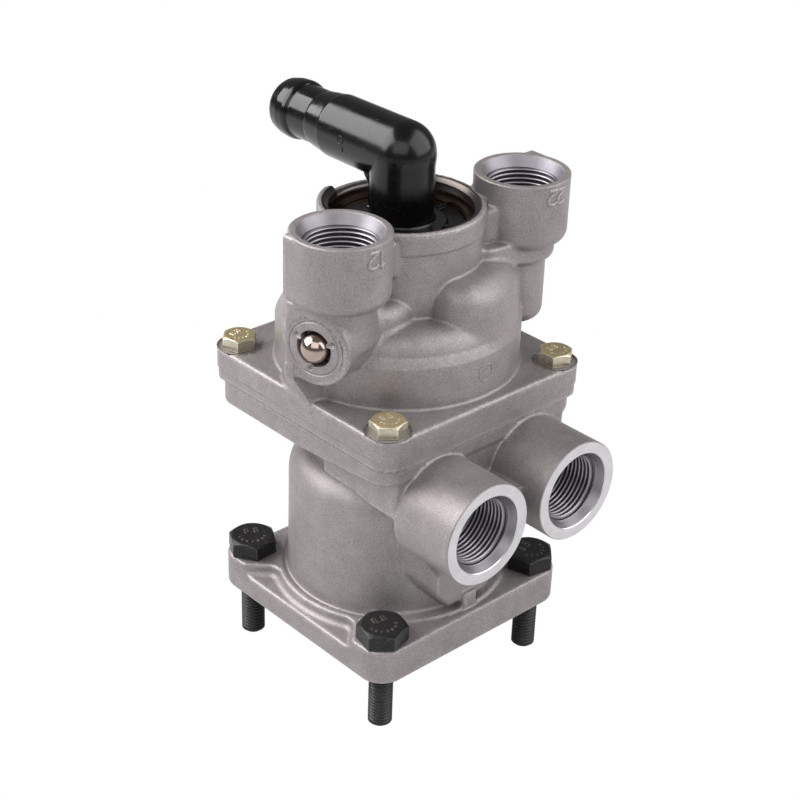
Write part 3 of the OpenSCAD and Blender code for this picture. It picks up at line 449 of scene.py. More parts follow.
def upper_outside(x, y, z):
    """Outer shape of the upper casting."""
    r = np.hypot(x, y)
    flange = slab(rectangle(x, y, FLANGE_HALF, FLANGE_HALF, 7.0), z, 81.2, FLANGE_TOP, 1.1)
    foot = slab(rectangle(x, y, FOOT_HALF, FOOT_HALF, 6.8), z, 70.0, 84.0, 0.3)
    flange = np.minimum(flange, foot)
    dome = slab(r - DOME_R + 0.5 * np.clip(z - DOME_BEND, 0, 3), z, 60.0, DOME_TOP, 8.2)
    # neck and collar
    neck_r = np.interp(z, [112, 120.8, 128.2, 133.2], [24.7, 25.0, 25.0, 25.3]).astype(np.float32)
    neck = np.maximum(r - neck_r, np.abs(z - 115) - 22)
    collar = slab(r - COLLAR_R, z, 133.0, COLLAR_TOP, 0.7)
    # air channel lobe on the right
    wall = wall_radius(z)
    plan = capsule(x, y, 9.0, -22.0, 22.0, -14.0) - 17.5
    plan = common(plan, r - wall, 4.0)
    lobe = slab(plan, z, 60.0, 123.6, 7.5)
    # left shoulder behind the ball plug boss
    plan = np.hypot(x + 20.0, y + 6.0) - 16.0
    plan = common(plan, r - wall, 2.0)
    left = slab(plan, z, 60.0, 119.0, 5.0)
    # top port bosses, round in front and square behind
    sx = np.abs(x) - TOP_X
    sy = y + TOP_Y
    boss = slab(np.hypot(sx, sy) - TOP_R, z, 124.0, TOP_FACE, 4.0)
    rim = slab(np.hypot(sx, sy) - TOP_R, z, 128.0, TOP_FACE, 0.6)
    back_edge = np.where(x < 0, 8.05, 10.35)
    corner = np.maximum(np.maximum(sx - 14.87, -sx), np.maximum(sy - back_edge, -sy))
    top = np.where(x < 0, 145.75, 145.9)
    corner = np.maximum(slab(corner, z, 124.0, 160.0, 4.0), slab(corner, z, 110.0, top, 0.9))
    boss = np.minimum(np.minimum(boss, rim), corner)
    # stepped column under the delivery port
    column = post(x, y, z, TOP_X, -TOP_Y, 11.4, 118.2, 128.0, 2.6)
    column = join(column, post(x, y, z, TOP_X, -TOP_Y, 9.0, 96.5, 125.0, 4.4), 1.2)
    # ball plug boss on its own radial axis, with one flat flank
    rho, t = ball_frame(x, y)
    side = -t - BALL_FLANK
    ball = slab(np.hypot(t, z - BALL_Z) - 11.9, rho, 5.0, BALL_FACE, 0.9)
    ball = np.maximum(ball, side)
    flank = np.maximum(np.maximum(side, t), np.abs(z - BALL_Z - 0.8) - 12.0)
    flank = slab(flank, rho, 32.0, BALL_FACE, 0.9)
    # column between the boss and the supply port above it, and the boss's foot on the flange
    stem = post(x, y, z, -TOP_X, -TOP_Y, 10.8, 110.0, 128.0, 2.0)
    foot = polygon(x, y, [(-42.2, -8.4), (-34, -9.6), (-30, 10), (-37.7, 10.7), (-41.0, 5.0), (-42.2, 0.5)])
    foot = slab(foot, z, 86.0, 104.0, 0.5)
    strut = np.maximum((-(x + FLANGE_HALF) * 11.5 - (z - 88.5) * 7.1) / 13.5, np.maximum(-8.4 - y, side))
    strut = np.maximum(strut, np.maximum(np.abs(z - 95) - 9, np.maximum(rho - BALL_FACE, x + 34)))
    foot = np.minimum(foot, strut)
    # webs between collar and top ports
    web = capsule(np.abs(x), y, 20.0, -12.0, 34.0, -14.0) - 6.5
    web = slab(web, z, 126.5, 138.2, 1.5)
    ledge = capsule(x, y, 20.0, -15.0, 33.0, -16.5) - 8.0
    web = np.minimum(web, slab(ledge, z, 119.5, 127.2, 1.0))
    solid = join(flange, dome, 1.0)
    solid = join(solid, lobe, 0.9)
    solid = join(solid, left, 1.5)
    solid = join(solid, neck, 0.8)
    solid = join(solid, join(ball, flank, 0.5), 1.2)
    solid = join(solid, foot, 1.2)
    solid = join(solid, column, 1.6)
    solid = join(solid, stem, 1.5)
    solid = join(solid, web, 1.5)
    solid = join(solid, boss, 0.9)
    solid = join(solid, collar, 0.3)
    return np.maximum(solid, PLATE_TOP - z)


def upper_cuts(x, y, z):
    """Machined hollows of the upper casting."""
    r = np.hypot(x, y)
    # (bore, from, to), a rim of 0.1 mm on each: valve tube, seat, valve, exhaust mouth
    seat = np.maximum(r - VALVE_BORE, SEAT_RING - r)
    bores = ((r - TUBE_BORE, 95.0, 115.0), (seat, 107.5, 115.0), (r - VALVE_BORE, 108.5, 130.0),
             (r - MOUTH_BORE, 127.4, 150.0))
    hollow = lowest(slab(flat, z, z0, z1, 0.1) for flat, z0, z1 in bores)
    hollow = lowest((hollow, np.maximum(r - RELAY_BORE, z - 102.5), np.maximum(r - 23.6, 133.6 - z)))
    # (radius, lower end) of each top port's mouth, thread and passage
    q = np.hypot(np.abs(x) - TOP_X, y + TOP_Y)
    steps = ((13.6, 141.0), (11.9, 128.8), (4.6, BALL_Z))
    port = lowest(np.maximum(q - radius, z0 - z) for radius, z0 in steps)
    # (radius, inner end) of the cross drilling, its plug's bore, the seat's room and the flat round it
    rho, t = ball_frame(x, y)
    q = np.hypot(t, z - BALL_Z)
    drills = ((3.4, 15.0), (4.2, 42.0), (5.9, 44.5), (9.3, 48.6))
    drill = lowest(np.maximum(q - radius, start - rho) for radius, start in drills)
    # housing bolts with their spot faces
    bolt = np.hypot(np.abs(x) - JOINT_HOLE, np.abs(y) - JOINT_HOLE)
    spot = np.maximum(np.maximum(bolt - 6.9, 88.5 - z), z - 94)
    # notch in the collar's rim
    notch = np.abs(np.arctan2(y, x) - math.radians(NOTCH_AT)) - math.radians(NOTCH_HALF)
    notch = np.maximum(np.maximum(np.maximum(notch, 0) * r - 0.01, NOTCH_FLOOR - z), 15 - r)
    return lowest((hollow, port, drill, np.maximum(bolt - 3.3, z - 95), spot, notch))


def upper_field(x, y, z):
    """The upper casting with its hollows."""
    return cut(upper_outside(x, y, z), upper_cuts(x, y, z), 0.15)


# %% [markdown]
# ## Materials
#
# Each material is a small node tree, and sRGB colours are turned linear first.
# An image texture could hold the wear, but it would need unwrapping, and would
# blur close up. Noise on Object coordinates has real sizes instead: a scale of
# 2600 per metre has features of about 0.4 mm, the grain of a blasted casting.

# %% Colour and node helpers


def linear(hex_code):
    """sRGB hex colour to linear RGBA."""
    c = np.array([int(hex_code[i:i + 2], 16) for i in (1, 3, 5)]) / 255
    c = np.where(c <= 0.04045, c / 12.92, ((c + 0.055) / 1.055) ** 2.4)
    return (*[float(v) for v in c], 1.0)


def add(tree, kind, inputs=None, **settings):
    """Adds one shader node, sets its properties, and links or sets its inputs."""
    node = tree.nodes.new(kind)
    for key, value in settings.items():
        setattr(node, key, value)
    for key, value in (inputs or {}).items():
        if hasattr(value, "is_output"):
            tree.links.new(value, node.inputs[key])
        else:
            node.inputs[key].default_value = value
    return node


def shade(colour, factor):
    """A lighter or darker version of a linear colour."""
    return tuple(min(1.0, factor * v) for v in colour[:3]) + (1.0,)


def blank(name):
    """A material with an empty node tree, its principled shader and its Object coordinates."""
    print("material:", name)
    material = bpy.data.materials.new(name)
    material.use_nodes = True
    tree = material.node_tree
    tree.nodes.clear()
    shader = add(tree, "ShaderNodeBsdfPrincipled")
    add(tree, "ShaderNodeOutputMaterial", {"Surface": shader.outputs[0]})
    coords = add(tree, "ShaderNodeTexCoord").outputs["Object"]
    return material, tree, shader, coords


def noise(tree, vector, scale, detail=2.0, rough=0.5):
    """A noise value between 0 and 1 with the given number of features per metre."""
    return add(tree, "ShaderNodeTexNoise", {"Vector": vector, "Scale": scale, "Detail": detail,
                                            "Roughness": rough}).outputs[0]


def remap(tree, value, lo, hi, to_lo, to_hi):
    """A value taken from one range to another and held inside it."""
    return add(tree, "ShaderNodeMapRange", {"Value": value, "From Min": lo, "From Max": hi, "To Min": to_lo,
                                            "To Max": to_hi}).outputs[0]


def maths(tree, operation, a, b):
    """One arithmetic step between two values."""
    return add(tree, "ShaderNodeMath", {0: a, 1: b}, operation=operation).outputs[0]


def blend(tree, factor, a, b, mode="MIX"):
    """A mix of two colours."""
    return add(tree, "ShaderNodeMix", {0: factor, 6: a, 7: b}, data_type="RGBA", blend_type=mode).outputs[2]


def attribute(tree, name):
    """A value stored at each vertex by the script."""
    return add(tree, "ShaderNodeAttribute", attribute_name=name).outputs["Fac"]


def finish_material(tree, shader, colour, rough, height, distance):
    """Links colour, roughness and a bump of the given depth in metres into the shader."""
    bump = add(tree, "ShaderNodeBump", {"Height": height, "Strength": 1.0, "Distance": distance})
    tree.links.new(colour, shader.inputs["Base Color"])
    tree.links.new(rough, shader.inputs["Roughness"])
    tree.links.new(bump.outputs[0], shader.inputs["Normal"])


# %% [markdown]
# ### Die-cast aluminium
#
# Both housings are castings blasted with shot: a slightly pink grey, a fine
# grain, faint clouds and stains, and lighter edges where they were handled. A
# Bevel node could find the edges while it renders, but it is slow on so fine a
# mesh, so the wear reads the value that was stored at each vertex.

# %% Die-cast aluminium: pinkish grey with shot-blast grain, clouds, stains and lighter worn edges


def cast_material():
    """Two greys mixed by clouds, times patches, times grain, then lighter by wear (on the raised numbers and
    ejector ring partly a painted highlight) and darker by stains.
    """
    material, tree, shader, coords = blank("die_cast_aluminium")
    grain = noise(tree, coords, 2600.0, 3.0, 0.65)
    pebble = noise(tree, coords, 1100.0, 2.0, 0.5)
    cloud = noise(tree, coords, 55.0, 4.0, 0.55)
    patch = noise(tree, coords, 190.0, 3.0, 0.6)
    colour = blend(tree, remap(tree, cloud, 0.35, 0.65, 0, 1), linear("#8d8786"), linear("#979191"))
    colour = blend(tree, 1.0, colour, remap(tree, patch, 0.3, 0.7, 0.91, 1.06), "MULTIPLY")
    colour = blend(tree, 1.0, colour, remap(tree, grain, 0.25, 0.75, 0.62, 1.33), "MULTIPLY")
    edge = attribute(tree, "edge")
    broken = remap(tree, pebble, 0.45, 0.62, 0.15, 1)
    wear = maths(tree, "MULTIPLY", remap(tree, edge, 0.35, 1.0, 0, 1), broken)
    # worn edges turn lighter; the raised numbers and ejector ring count as all edge, so on them this is
    # partly a painted highlight
    colour = blend(tree, maths(tree, "MULTIPLY", wear, 0.26), colour, linear("#cfcac9"))
    stain = remap(tree, noise(tree, coords, 120.0, 5.0, 0.7), 0.66, 0.76, 0, 0.35)
    colour = blend(tree, stain, colour, linear("#75706c"))
    rough = remap(tree, cloud, 0.3, 0.7, 0.46, 0.56)
    height = maths(tree, "ADD", grain, maths(tree, "MULTIPLY", pebble, 1.2))
    finish_material(tree, shader, colour, rough, height, 0.00006)
    shader.inputs["Metallic"].default_value = 0.6
    return material


# %% [markdown]
# ### Machined aluminium
#
# Faces, mouths and threads are cut after casting, and the tool leaves fine
# rings. Anisotropic shading could hint at them, but real rings vary in width,
# so a noise runs over each vertex's distance from the axis and its height.

# %% Machined aluminium: bright, with fine rings left by the tool round the axis of each piece
RINGS = 2600.0


def machined_material(name, hex_code, rough_to, groove=None):
    """groove gives the radii, in metres, between which a thread is painted darker towards its roots, as
    painted shade in its grooves.
    """
    material, tree, shader, coords = blank(name)
    turn = add(tree, "ShaderNodeAttribute", attribute_name="turn").outputs["Vector"]
    line = noise(tree, turn, RINGS, 3.0, 0.7)
    patch = noise(tree, coords, 260.0, 3.0)
    bright = linear(hex_code)
    colour = blend(tree, remap(tree, line, 0.3, 0.7, 0, 1), bright, shade(bright, 1.3))
    colour = blend(tree, remap(tree, patch, 0.35, 0.75, 0, 0.35), colour, shade(bright, 0.75))
    if groove:
        radius = add(tree, "ShaderNodeSeparateXYZ", {0: turn}).outputs[0]
        # painted shade: the thread darkens from its crests to its roots, where shade falls in the grooves
        colour = blend(tree, remap(tree, radius, groove[0], groove[1], 0, 0.93), colour, linear("#28252a"))
    rough = remap(tree, line, 0.3, 0.7, rough_to * 0.8, rough_to * 1.25)
    finish_material(tree, shader, colour, rough, line, 0.00002)
    shader.inputs["Metallic"].default_value = 1.0
    return material


# %% [markdown]
# ### Bolt plating
#
# The flange's bolts are black oxide and the housings' bolts yellow zinc. Both
# rub off on corners and raised marks, and the tops catch more dirt and light
# than the flats. One recipe serves both, with other colours.

# %% Black oxide and zinc bolts: dark or olive plating, worn through on edges and raised marks


def bolt_material(name, base, base_2, worn, top, metallic, rough_to, wear_by):
    """base and base_2 mix in patches, top tints and lightens what faces up, partly a tint of its own and
    partly painted light from above, and worn shows where it is rubbed.
    """
    material, tree, shader, coords = blank(name)
    fine = noise(tree, coords, 2200.0, 4.0, 0.7)
    patch = noise(tree, coords, 420.0, 4.0, 0.6)
    colour = blend(tree, remap(tree, patch, 0.35, 0.65, 0, 1), linear(base), linear(base_2))
    normal = add(tree, "ShaderNodeNewGeometry").outputs["Normal"]
    facing_up = add(tree, "ShaderNodeSeparateXYZ", {0: normal}).outputs[2]
    # faces that point up turn to the top colour: partly a tint, partly painted light on the tops
    colour = blend(tree, remap(tree, facing_up, 0.8, 0.95, 0, 0.85), colour, linear(top))
    wear = maths(tree, "MULTIPLY", attribute(tree, "edge"), remap(tree, fine, 0.4, 0.62, 0.0, 1.0))
    scuff = remap(tree, noise(tree, coords, 900.0, 5.0, 0.75), 0.57, 0.7, 0, 0.5)
    wear = maths(tree, "MULTIPLY", maths(tree, "MAXIMUM", wear, scuff), wear_by)
    colour = blend(tree, wear, colour, linear(worn))
    rough = remap(tree, patch, 0.3, 0.7, rough_to * 0.75, rough_to * 1.25)
    finish_material(tree, shader, colour, rough, maths(tree, "ADD", fine, patch), 0.00004)
    shader.inputs["Metallic"].default_value = metallic
    return material


# %% [markdown]
# ### Black nylon
#
# The elbow is moulded nylon: glossy, with a haze from the mould, and duller
# towards the bend where hands hold it. A flat black would hide its form, so
# the roughness varies, and stretched noise lays fine scratches along the arm.

# %% Black nylon: glossy, with moulding haze and fine handling scratches


def nylon_material():
    """Near black, lighter in the scratches. Roughness is haze plus scratches plus handling near the bend."""
    material, tree, shader, coords = blank("black_moulded_nylon")
    stretch = add(tree, "ShaderNodeMapping", {"Vector": coords, "Scale": (1.0, 0.25, 1.0),
                                              "Rotation": (0.3, 0.2, 0.5)}).outputs[0]
    scratch = remap(tree, noise(tree, stretch, 1500.0, 5.0, 0.7), 0.6, 0.7, 0, 1)
    haze = noise(tree, coords, 150.0, 4.0, 0.6)
    colour = blend(tree, maths(tree, "MULTIPLY", scratch, 0.3), linear("#070708"), linear("#343235"))
    along = add(tree, "ShaderNodeSeparateXYZ", {0: coords}).outputs[1]
    handled = remap(tree, along, 0.0, 0.032, 0.08, 0.0)
    rough = maths(tree, "ADD", remap(tree, haze, 0.3, 0.7, 0.09, 0.2), maths(tree, "MULTIPLY", scratch, 0.12))
    rough = maths(tree, "ADD", rough, handled)
    height = maths(tree, "ADD", noise(tree, coords, 700.0), scratch)
    finish_material(tree, shader, colour, rough, height, 0.000008)
    shader.inputs["Specular IOR Level"].default_value = 0.36
    return material


# %% [markdown]
# ### Plain finishes
#
# Springs, clips, seals and guides are small or hidden. Each needs its right
# metal or rubber and a little variation, and no wear of its own.

# %% Simple finishes for the small and inner pieces


def plain_material(name, colour, metallic, roughness, grain=900.0):
    """A solid finish with a little variation in tone, roughness and height."""
    material, tree, shader, coords = blank(name)
    value = noise(tree, coords, grain, 3.0)
    base = linear(colour)
    rough = remap(tree, value, 0.0, 1.0, roughness * 0.85, min(1.0, roughness * 1.2))
    finish_material(tree, shader, blend(tree, value, shade(base, 0.8), base), rough, value, 0.00001)
    shader.inputs["Metallic"].default_value = metallic
    return material


# %% The finishes of this valve
CAST = cast_material()
MACHINED = machined_material("face_milled_aluminium", "#cbc8cc", 0.3)
BORED = machined_material("bored_aluminium", "#88858a", 0.46)
# The tapped thread is painted darker towards its roots, as painted shade in its grooves.
THREAD = machined_material("tapped_aluminium", "#97949a", 0.38, groove=(10.4 * MM, 11.1 * MM))
COLLAR = machined_material("turned_collar", "#5c5653", 0.3)
BLACK_BOLT = bolt_material("black_oxide_steel", base="#1b1b1d", base_2="#262628", worn="#6d6866",
                           top="#2e2c2c", metallic=0.6, rough_to=0.38, wear_by=0.8)
ZINC_BOLT = bolt_material("yellow_zinc_steel", base="#b0a998", base_2="#c4bda9", worn="#fbf3dc",
                          top="#d2bf8e", metallic=0.8, rough_to=0.32, wear_by=1.0)
NYLON = nylon_material()
BALL = plain_material("stained_bearing_steel", "#b09f96", 1.0, 0.13, 420.0)
BY_SLOT = {
    "cast_aluminium": CAST,
    "turned_aluminium": plain_material("turned_aluminium", "#c8c6c3", 1.0, 0.3),
    "black_steel": BLACK_BOLT,
    "zinc_steel": ZINC_BOLT,
    "bare_steel": plain_material("ground_steel", "#c4c3c1", 1.0, 0.22),
    "clip_steel": plain_material("phosphated_spring_steel", "#5a463b", 0.9, 0.35),
    "black_nylon": NYLON,
    "seal_rubber": plain_material("nitrile_rubber", "#17171a", 0.0, 0.6),
    "valve_brass": plain_material("turned_brass", "#c6a566", 1.0, 0.3),
}

# %% [markdown]
# ## Machined faces, threads and turned pieces
#
# A profile of (radius, height) points is turned round an axis on a grid of rows
# times columns. A thread is the same grid with its radius wavy: at angle a and
# depth d the phase is d / pitch + a / (2 pi), so the wave climbs one pitch a turn.
# A Screw modifier could wind a thread too, but the grid also lets it run out
# softly at both ends, and the cutting tool's rings need each vertex's radius.

# %% Turned surfaces
ROWS_PER_PITCH = 10
FLANK, FLAT = 1.45, 0.12


def smooth_profile(points, rounds, n=5):
    """Profile polyline with each inner corner replaced by a short curve of the given size."""
    out = [np.array(points[0], float)]
    for i in range(1, len(points) - 1):
        a, b, c = (np.array(points[k], float) for k in (i - 1, i, i + 1))
        size = min(rounds, 0.45 * np.linalg.norm(b - a), 0.45 * np.linalg.norm(c - b))
        start = b + (a - b) / np.linalg.norm(a - b) * size
        end = b + (c - b) / np.linalg.norm(c - b) * size
        t = np.linspace(0, 1, n)[:, None]
        out.extend((1 - t) ** 2 * start + 2 * t * (1 - t) * b + t ** 2 * end)
    out.append(np.array(points[-1], float))
    return np.array(out)


def turned(profile, cols):
    """Vertices and quads of a profile of (radius, height) turned round z.

    With radius drawn to the right and height upwards, the faces point to the right of travel.
    """
    a = np.linspace(0, 2 * np.pi, cols, endpoint=False)
    r, h = profile[:, 0:1], profile[:, 1:2]
    verts = np.stack([r * np.cos(a), r * np.sin(a), h + 0 * a], -1).reshape(-1, 3)
    return verts, grid_faces(len(profile), cols, True)


def thread(crest, root, pitch, z0, z1, cols, fade):
    """A helical thread between heights z0 and z1. fade is the run over which it starts and ends."""
    rows = int(abs(z1 - z0) / pitch * ROWS_PER_PITCH) + 1
    h = np.linspace(z0, z1, rows)[:, None]
    a = np.linspace(0, 2 * np.pi, cols, endpoint=False)
    phase = (h / pitch + a / (2 * np.pi)) % 1.0
    wave = np.clip(np.abs(phase * 2 - 1) * FLANK - FLAT, 0, 1)
    ends = np.clip(np.minimum(np.abs(h - z0), np.abs(h - z1)) / fade, 0, 1)
    wave = 1 - (1 - wave) * ends if root < crest else wave * ends
    r = root + (crest - root) * wave
    verts = np.stack([r * np.cos(a), r * np.sin(a), h + 0 * r], -1).reshape(-1, 3)
    return verts, grid_faces(rows, cols, True)


def placed(verts, origin, axis):
    """Turns local vertices so that +z points along axis, and moves them to origin."""
    turn = Vector(axis).to_track_quat("Z", "Y").to_matrix()
    return verts @ np.array(turn).T + np.array(origin)


def gather(parts):
    """One vertex and face array from several, with the number of the part kept for each face."""
    verts, faces, part, start = [], [], [], 0
    for i, (v, f) in enumerate(parts):
        verts.append(v)
        faces.append(f + start)
        part.append(np.full(len(f), i))
        start += len(v)
    return np.concatenate(verts), np.concatenate(faces), np.concatenate(part)


def turned_object(name, parts, materials, origin, axis, body="housing"):
    """One smooth object from turned parts. Part i wears materials[i].

    The attribute turn holds each vertex's distance from the axis and its height
    along it, in metres, for the rings that a cutting tool leaves.
    """
    verts, faces, part = gather(parts)
    ob = new_object(name, verts, faces)
    rel = np.asarray(verts) - np.array(origin)
    high = rel @ np.array(axis, float)
    wide = np.linalg.norm(rel - high[:, None] * np.array(axis, float), axis=1)
    turn = np.stack([wide, high, 0 * wide], -1).astype(np.float32) * MM
    if len(ob.data.vertices) == len(turn):
        ob.data.attributes.new("turn", "FLOAT_VECTOR", "POINT").data.foreach_set("vector", turn.ravel())
    names = []
    for material in materials:
        if material not in names:
            names.append(material)
            ob.data.materials.append(material)
    index = np.array([names.index(m) for m in materials], np.int32)
    ob.data.polygons.foreach_set("material_index", index[part])
    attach(ob, body)
    return ob


# %% [markdown]
# ## The two castings as meshes
#
# A grid of 0.8 mm is fine enough for the fillets, since the vertices slide onto
# the exact surface, but a step lower than that comes out ragged. So a low step is
# a change of slope in the field, or a turned piece of its own further down. Each
# casting replaces its CAD solid.

# %% Mesh the two castings
GRID = 0.8
lower = field_object("lower_casting", lower_field, (-MOUNT_HALF, -SIDE_REACH, 0),
                     (MOUNT_HALF, MOUNT_HALF, PLATE_TOP), GRID, lower_outside)
upper = field_object("upper_casting", upper_field, (-52, -FLANGE_HALF, PLATE_TOP),
                     (52, FLANGE_HALF, TOP_FACE), GRID, upper_outside)
for piece, node in ((lower, "lower_housing"), (upper, "upper_housing")):
    piece.data.materials.append(CAST)
    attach(piece, "housing")
    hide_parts(node)

# %% [markdown]
# ## Threaded ports
#
# Each port is one turned piece: the last of the cast wall, the milled face, the
# mouth, and an M22 x 1.5 thread. It sits in a wider hole of the casting's field,
# because a grid fine enough for a thread would be far too heavy for a housing.

# %% Port inserts
COLS = 144
PORT_CREST, PORT_ROOT, PORT_PITCH = 10.2, 11.15, 1.5
SIDE_PORT = dict(outer=16.52, lip=16.25, mouth=12.6, neck=11.35, neck_depth=2.6, bottom=17.2)
TOP_PORT = dict(outer=15.02, lip=14.6, mouth=12.7, neck=11.3, neck_depth=3.1, bottom=17.0)


def port(name, origin, axis, facing, outer, lip, mouth, neck, neck_depth, bottom):
    """A threaded port. outer is the wall's radius, lip the face's outer edge, mouth its inner edge.

    neck is the radius where the mouth's cone ends, neck_depth its depth, bottom the
    thread's end, and facing the finish of the face.
    """
    wall = smooth_profile([(outer, -1.6), (outer, -0.3), (lip, -0.02)], 0.1)
    face = smooth_profile([(lip, -0.02), (lip - 0.05, 0.0), (mouth + 0.25, 0.0), (mouth, -0.25)], 0.06)
    start = -neck_depth - 0.3
    throat = smooth_profile([(mouth, -0.25), (neck, -neck_depth), (PORT_ROOT, start)], 0.1)
    throat = np.concatenate([np.linspace(throat[0], throat[1], 5)[:-1], throat[1:]])
    helix = thread(PORT_CREST, PORT_ROOT, PORT_PITCH, start, -bottom, COLS, 0.8)
    parts = [turned(wall, COLS), turned(face, COLS), turned(throat, COLS), helix]
    parts = [(placed(v, origin, axis), f) for v, f in parts]
    turned_object(name, parts, [CAST, facing, BORED, THREAD], origin=origin, axis=axis)


for side, label in ((-1, "supply"), (1, "delivery")):
    port(label + "_side_port", (side * SIDE_X, -SIDE_REACH, SIDE_Z), (0, -1, 0), MACHINED, **SIDE_PORT)
    port(label + "_top_port", (side * TOP_X, -TOP_Y, TOP_FACE + 0.03), (0, 0, 1), CAST, **TOP_PORT)

# %% [markdown]
# ## Collar mouth
#
# The collar's inner rim is turned to a chamfer, down to the groove of the
# elbow's clip, and milled away at one side for a notch. One turned profile
# makes it, and in the notch every vertex above the floor drops onto it.

# %% Collar mouth with its chamfer, open at the notch
inner = smooth_profile([(24.4, 140.0), (24.2, 140.22), (23.5, 140.22), (22.1, 138.9), (21.92, 136.4),
                        (23.75, 136.4)], 0.15)
verts, faces = turned(inner, 360)
angle = np.degrees(np.arctan2(verts[:, 1], verts[:, 0]))
in_notch = np.abs(angle - NOTCH_AT) < NOTCH_HALF
verts[:, 2] = np.where(in_notch, np.minimum(verts[:, 2], NOTCH_FLOOR + 0.03), verts[:, 2])
turned_object("collar_mouth", [(verts, faces)], [COLLAR], origin=(0, 0, 0), axis=(0, 0, 1))

# %% [markdown]
# ## Plug ball and its seat
#
# A cross drilling is closed by a steel ball pressed into its mouth, and three
# chisel blows push the seat's rim over the ball. The blows could be sculpted.
# Here the turned rim moves inwards, and dips behind, by bumps of the form
# exp(-u^4) or exp(-u^6), flat on top and falling off quickly round each mark.

# %% Seat of the plug ball, with its staking ring and three chisel marks
MARKS_AT, PUSH, LIFT, DIP = (151.0, 25.0, -100.0), 0.17, 0.35, 0.75
ball_axis = (math.cos(BALL_AZ), math.sin(BALL_AZ), 0.0)
ball_origin = (BALL_FACE * ball_axis[0], BALL_FACE * ball_axis[1], BALL_Z)
rim = smooth_profile([(9.7, 0.01), (8.75, 0.02), (8.4, -0.32), (8.0, 0.05), (7.1, 0.05), (6.3, 0.05),
                      (5.8, 0.04), (5.65, -0.25), (5.6, -1.4), (5.5, -4.6), (4.1, -4.75)], 0.12)
verts, faces = turned(rim, 480)
spread = np.degrees(np.arctan2(verts[:, 1], verts[:, 0]))
radius = np.hypot(verts[:, 0], verts[:, 1])
for mark in MARKS_AT:
    side = np.radians((spread - mark + 180) % 360 - 180) * radius
    lip = np.exp(-(side / 0.75) ** 4) * np.exp(-((radius - 5.6) / 0.45) ** 4) * (verts[:, 2] > -1.6)
    trench = np.exp(-(side / 0.8) ** 6) * np.exp(-((radius - 6.7) / 0.6) ** 4)
    verts[:, :2] *= (1 - PUSH * lip)[:, None]
    verts[:, 2] += LIFT * lip - DIP * trench * (1 + 0.4 * np.cos(side * 6))
# the seat's x runs round the valve, its y upwards and its z out of the boss
seat_frame = np.array([(-ball_axis[1], ball_axis[0], 0.0), (0.0, 0.0, 1.0), ball_axis])
seat = (verts @ seat_frame + np.array(ball_origin), faces)
turned_object("plug_seat", [seat], [CAST], origin=ball_origin, axis=ball_axis)

# %% The plug ball itself, ground and lightly stained
PLUG_R, PLUG_SUNK, POLE_R = 4.7, 1.45, 0.005
t = np.linspace(-1, 1, 65) * np.pi / 2
arc = np.stack([PLUG_R * np.cos(t) + POLE_R, PLUG_R * np.sin(t) - PLUG_SUNK], -1)
ball_v, ball_f = turned(arc, 96)
plug_ball = turned_object("ground_plug_ball", [(placed(ball_v, ball_origin, ball_axis), ball_f)], [BALL],
                          origin=ball_origin, axis=ball_axis)
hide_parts("plug_ball")

# %% [markdown]
# ## Spot faces
#
# The upper flange is faced under each bolt head. The cut is a shallow step that
# the casting's grid can't hold, so it is a thin turned ring of its own.

# %% Spot faces under the four housing bolts
CORNERS = ((-1, -1), (1, -1), (1, 1), (-1, 1))
spot = smooth_profile([(7.2, 89.0), (7.0, 89.03), (6.8, 88.55), (6.5, 88.52), (3.2, 88.52)], 0.08)
parts = []
for sx, sy in CORNERS:
    v, f = turned(spot, 64)
    parts.append((v + np.array([sx * JOINT_BOLT, sy * JOINT_BOLT, 0]), f))
turned_object("spot_faces", parts, [CAST] * 4, origin=(0, 0, 0), axis=(0, 0, 1))

# %% [markdown]
# ## Raised port numbers
#
# Ports 12 and 22 have their numbers cast on the wall, and the dome has the ring
# of an ejector pin. A Text object would have to be bent round the wall, so the
# strokes are thin round beads that follow it: the path is laid on the cylinder,
# and a circle is carried along it. The castings carry them upside down.

# %% Port numbers
BEAD_ROWS, BEAD_COLS = 40, 12
TWO = [(0.0, 0.74), (0.08, 0.9), (0.35, 1.0), (0.62, 0.9), (0.7, 0.7), (0.6, 0.5), (0.3, 0.25), (0.0, 0.0),
       (0.7, 0.0)]
ONE = [(0.0, 0.78), (0.28, 1.0), (0.28, 0.0)]


def bead(points, cx, cy, radius, theta, z, height, girth):
    """A stroke on the cylinder of the given radius round (cx, cy), at theta degrees and height z.

    points are in units of the figure's height and come out upside down, and girth
    is the bead's radius, which narrows to a tenth at both ends.
    """
    path = np.array(points, float)
    run = np.concatenate([[0], np.cumsum(np.linalg.norm(np.diff(path, axis=0), axis=1))])
    at = np.linspace(0, run[-1], BEAD_ROWS)
    u = -np.interp(at, run, path[:, 0]) * height
    v = -np.interp(at, run, path[:, 1]) * height
    a = math.radians(theta) + u / radius
    out = np.stack([np.cos(a), np.sin(a), 0 * a], -1)
    centre = np.stack([cx + radius * np.cos(a), cy + radius * np.sin(a), z + v], -1)
    along = np.gradient(centre, axis=0)
    along /= np.linalg.norm(along, axis=1, keepdims=True)
    across = np.cross(along, out)
    phi = np.linspace(0, 2 * np.pi, BEAD_COLS, endpoint=False)
    size = girth * np.sqrt(np.clip(np.minimum(at, run[-1] - at) / 0.06, 0.01, 1))
    ring = np.cos(phi)[None, :, None] * out[:, None] * 0.8 + np.sin(phi)[None, :, None] * across[:, None]
    verts = centre[:, None] + ring * size[:, None, None]
    return verts.reshape(-1, 3), grid_faces(BEAD_ROWS, BEAD_COLS, True)


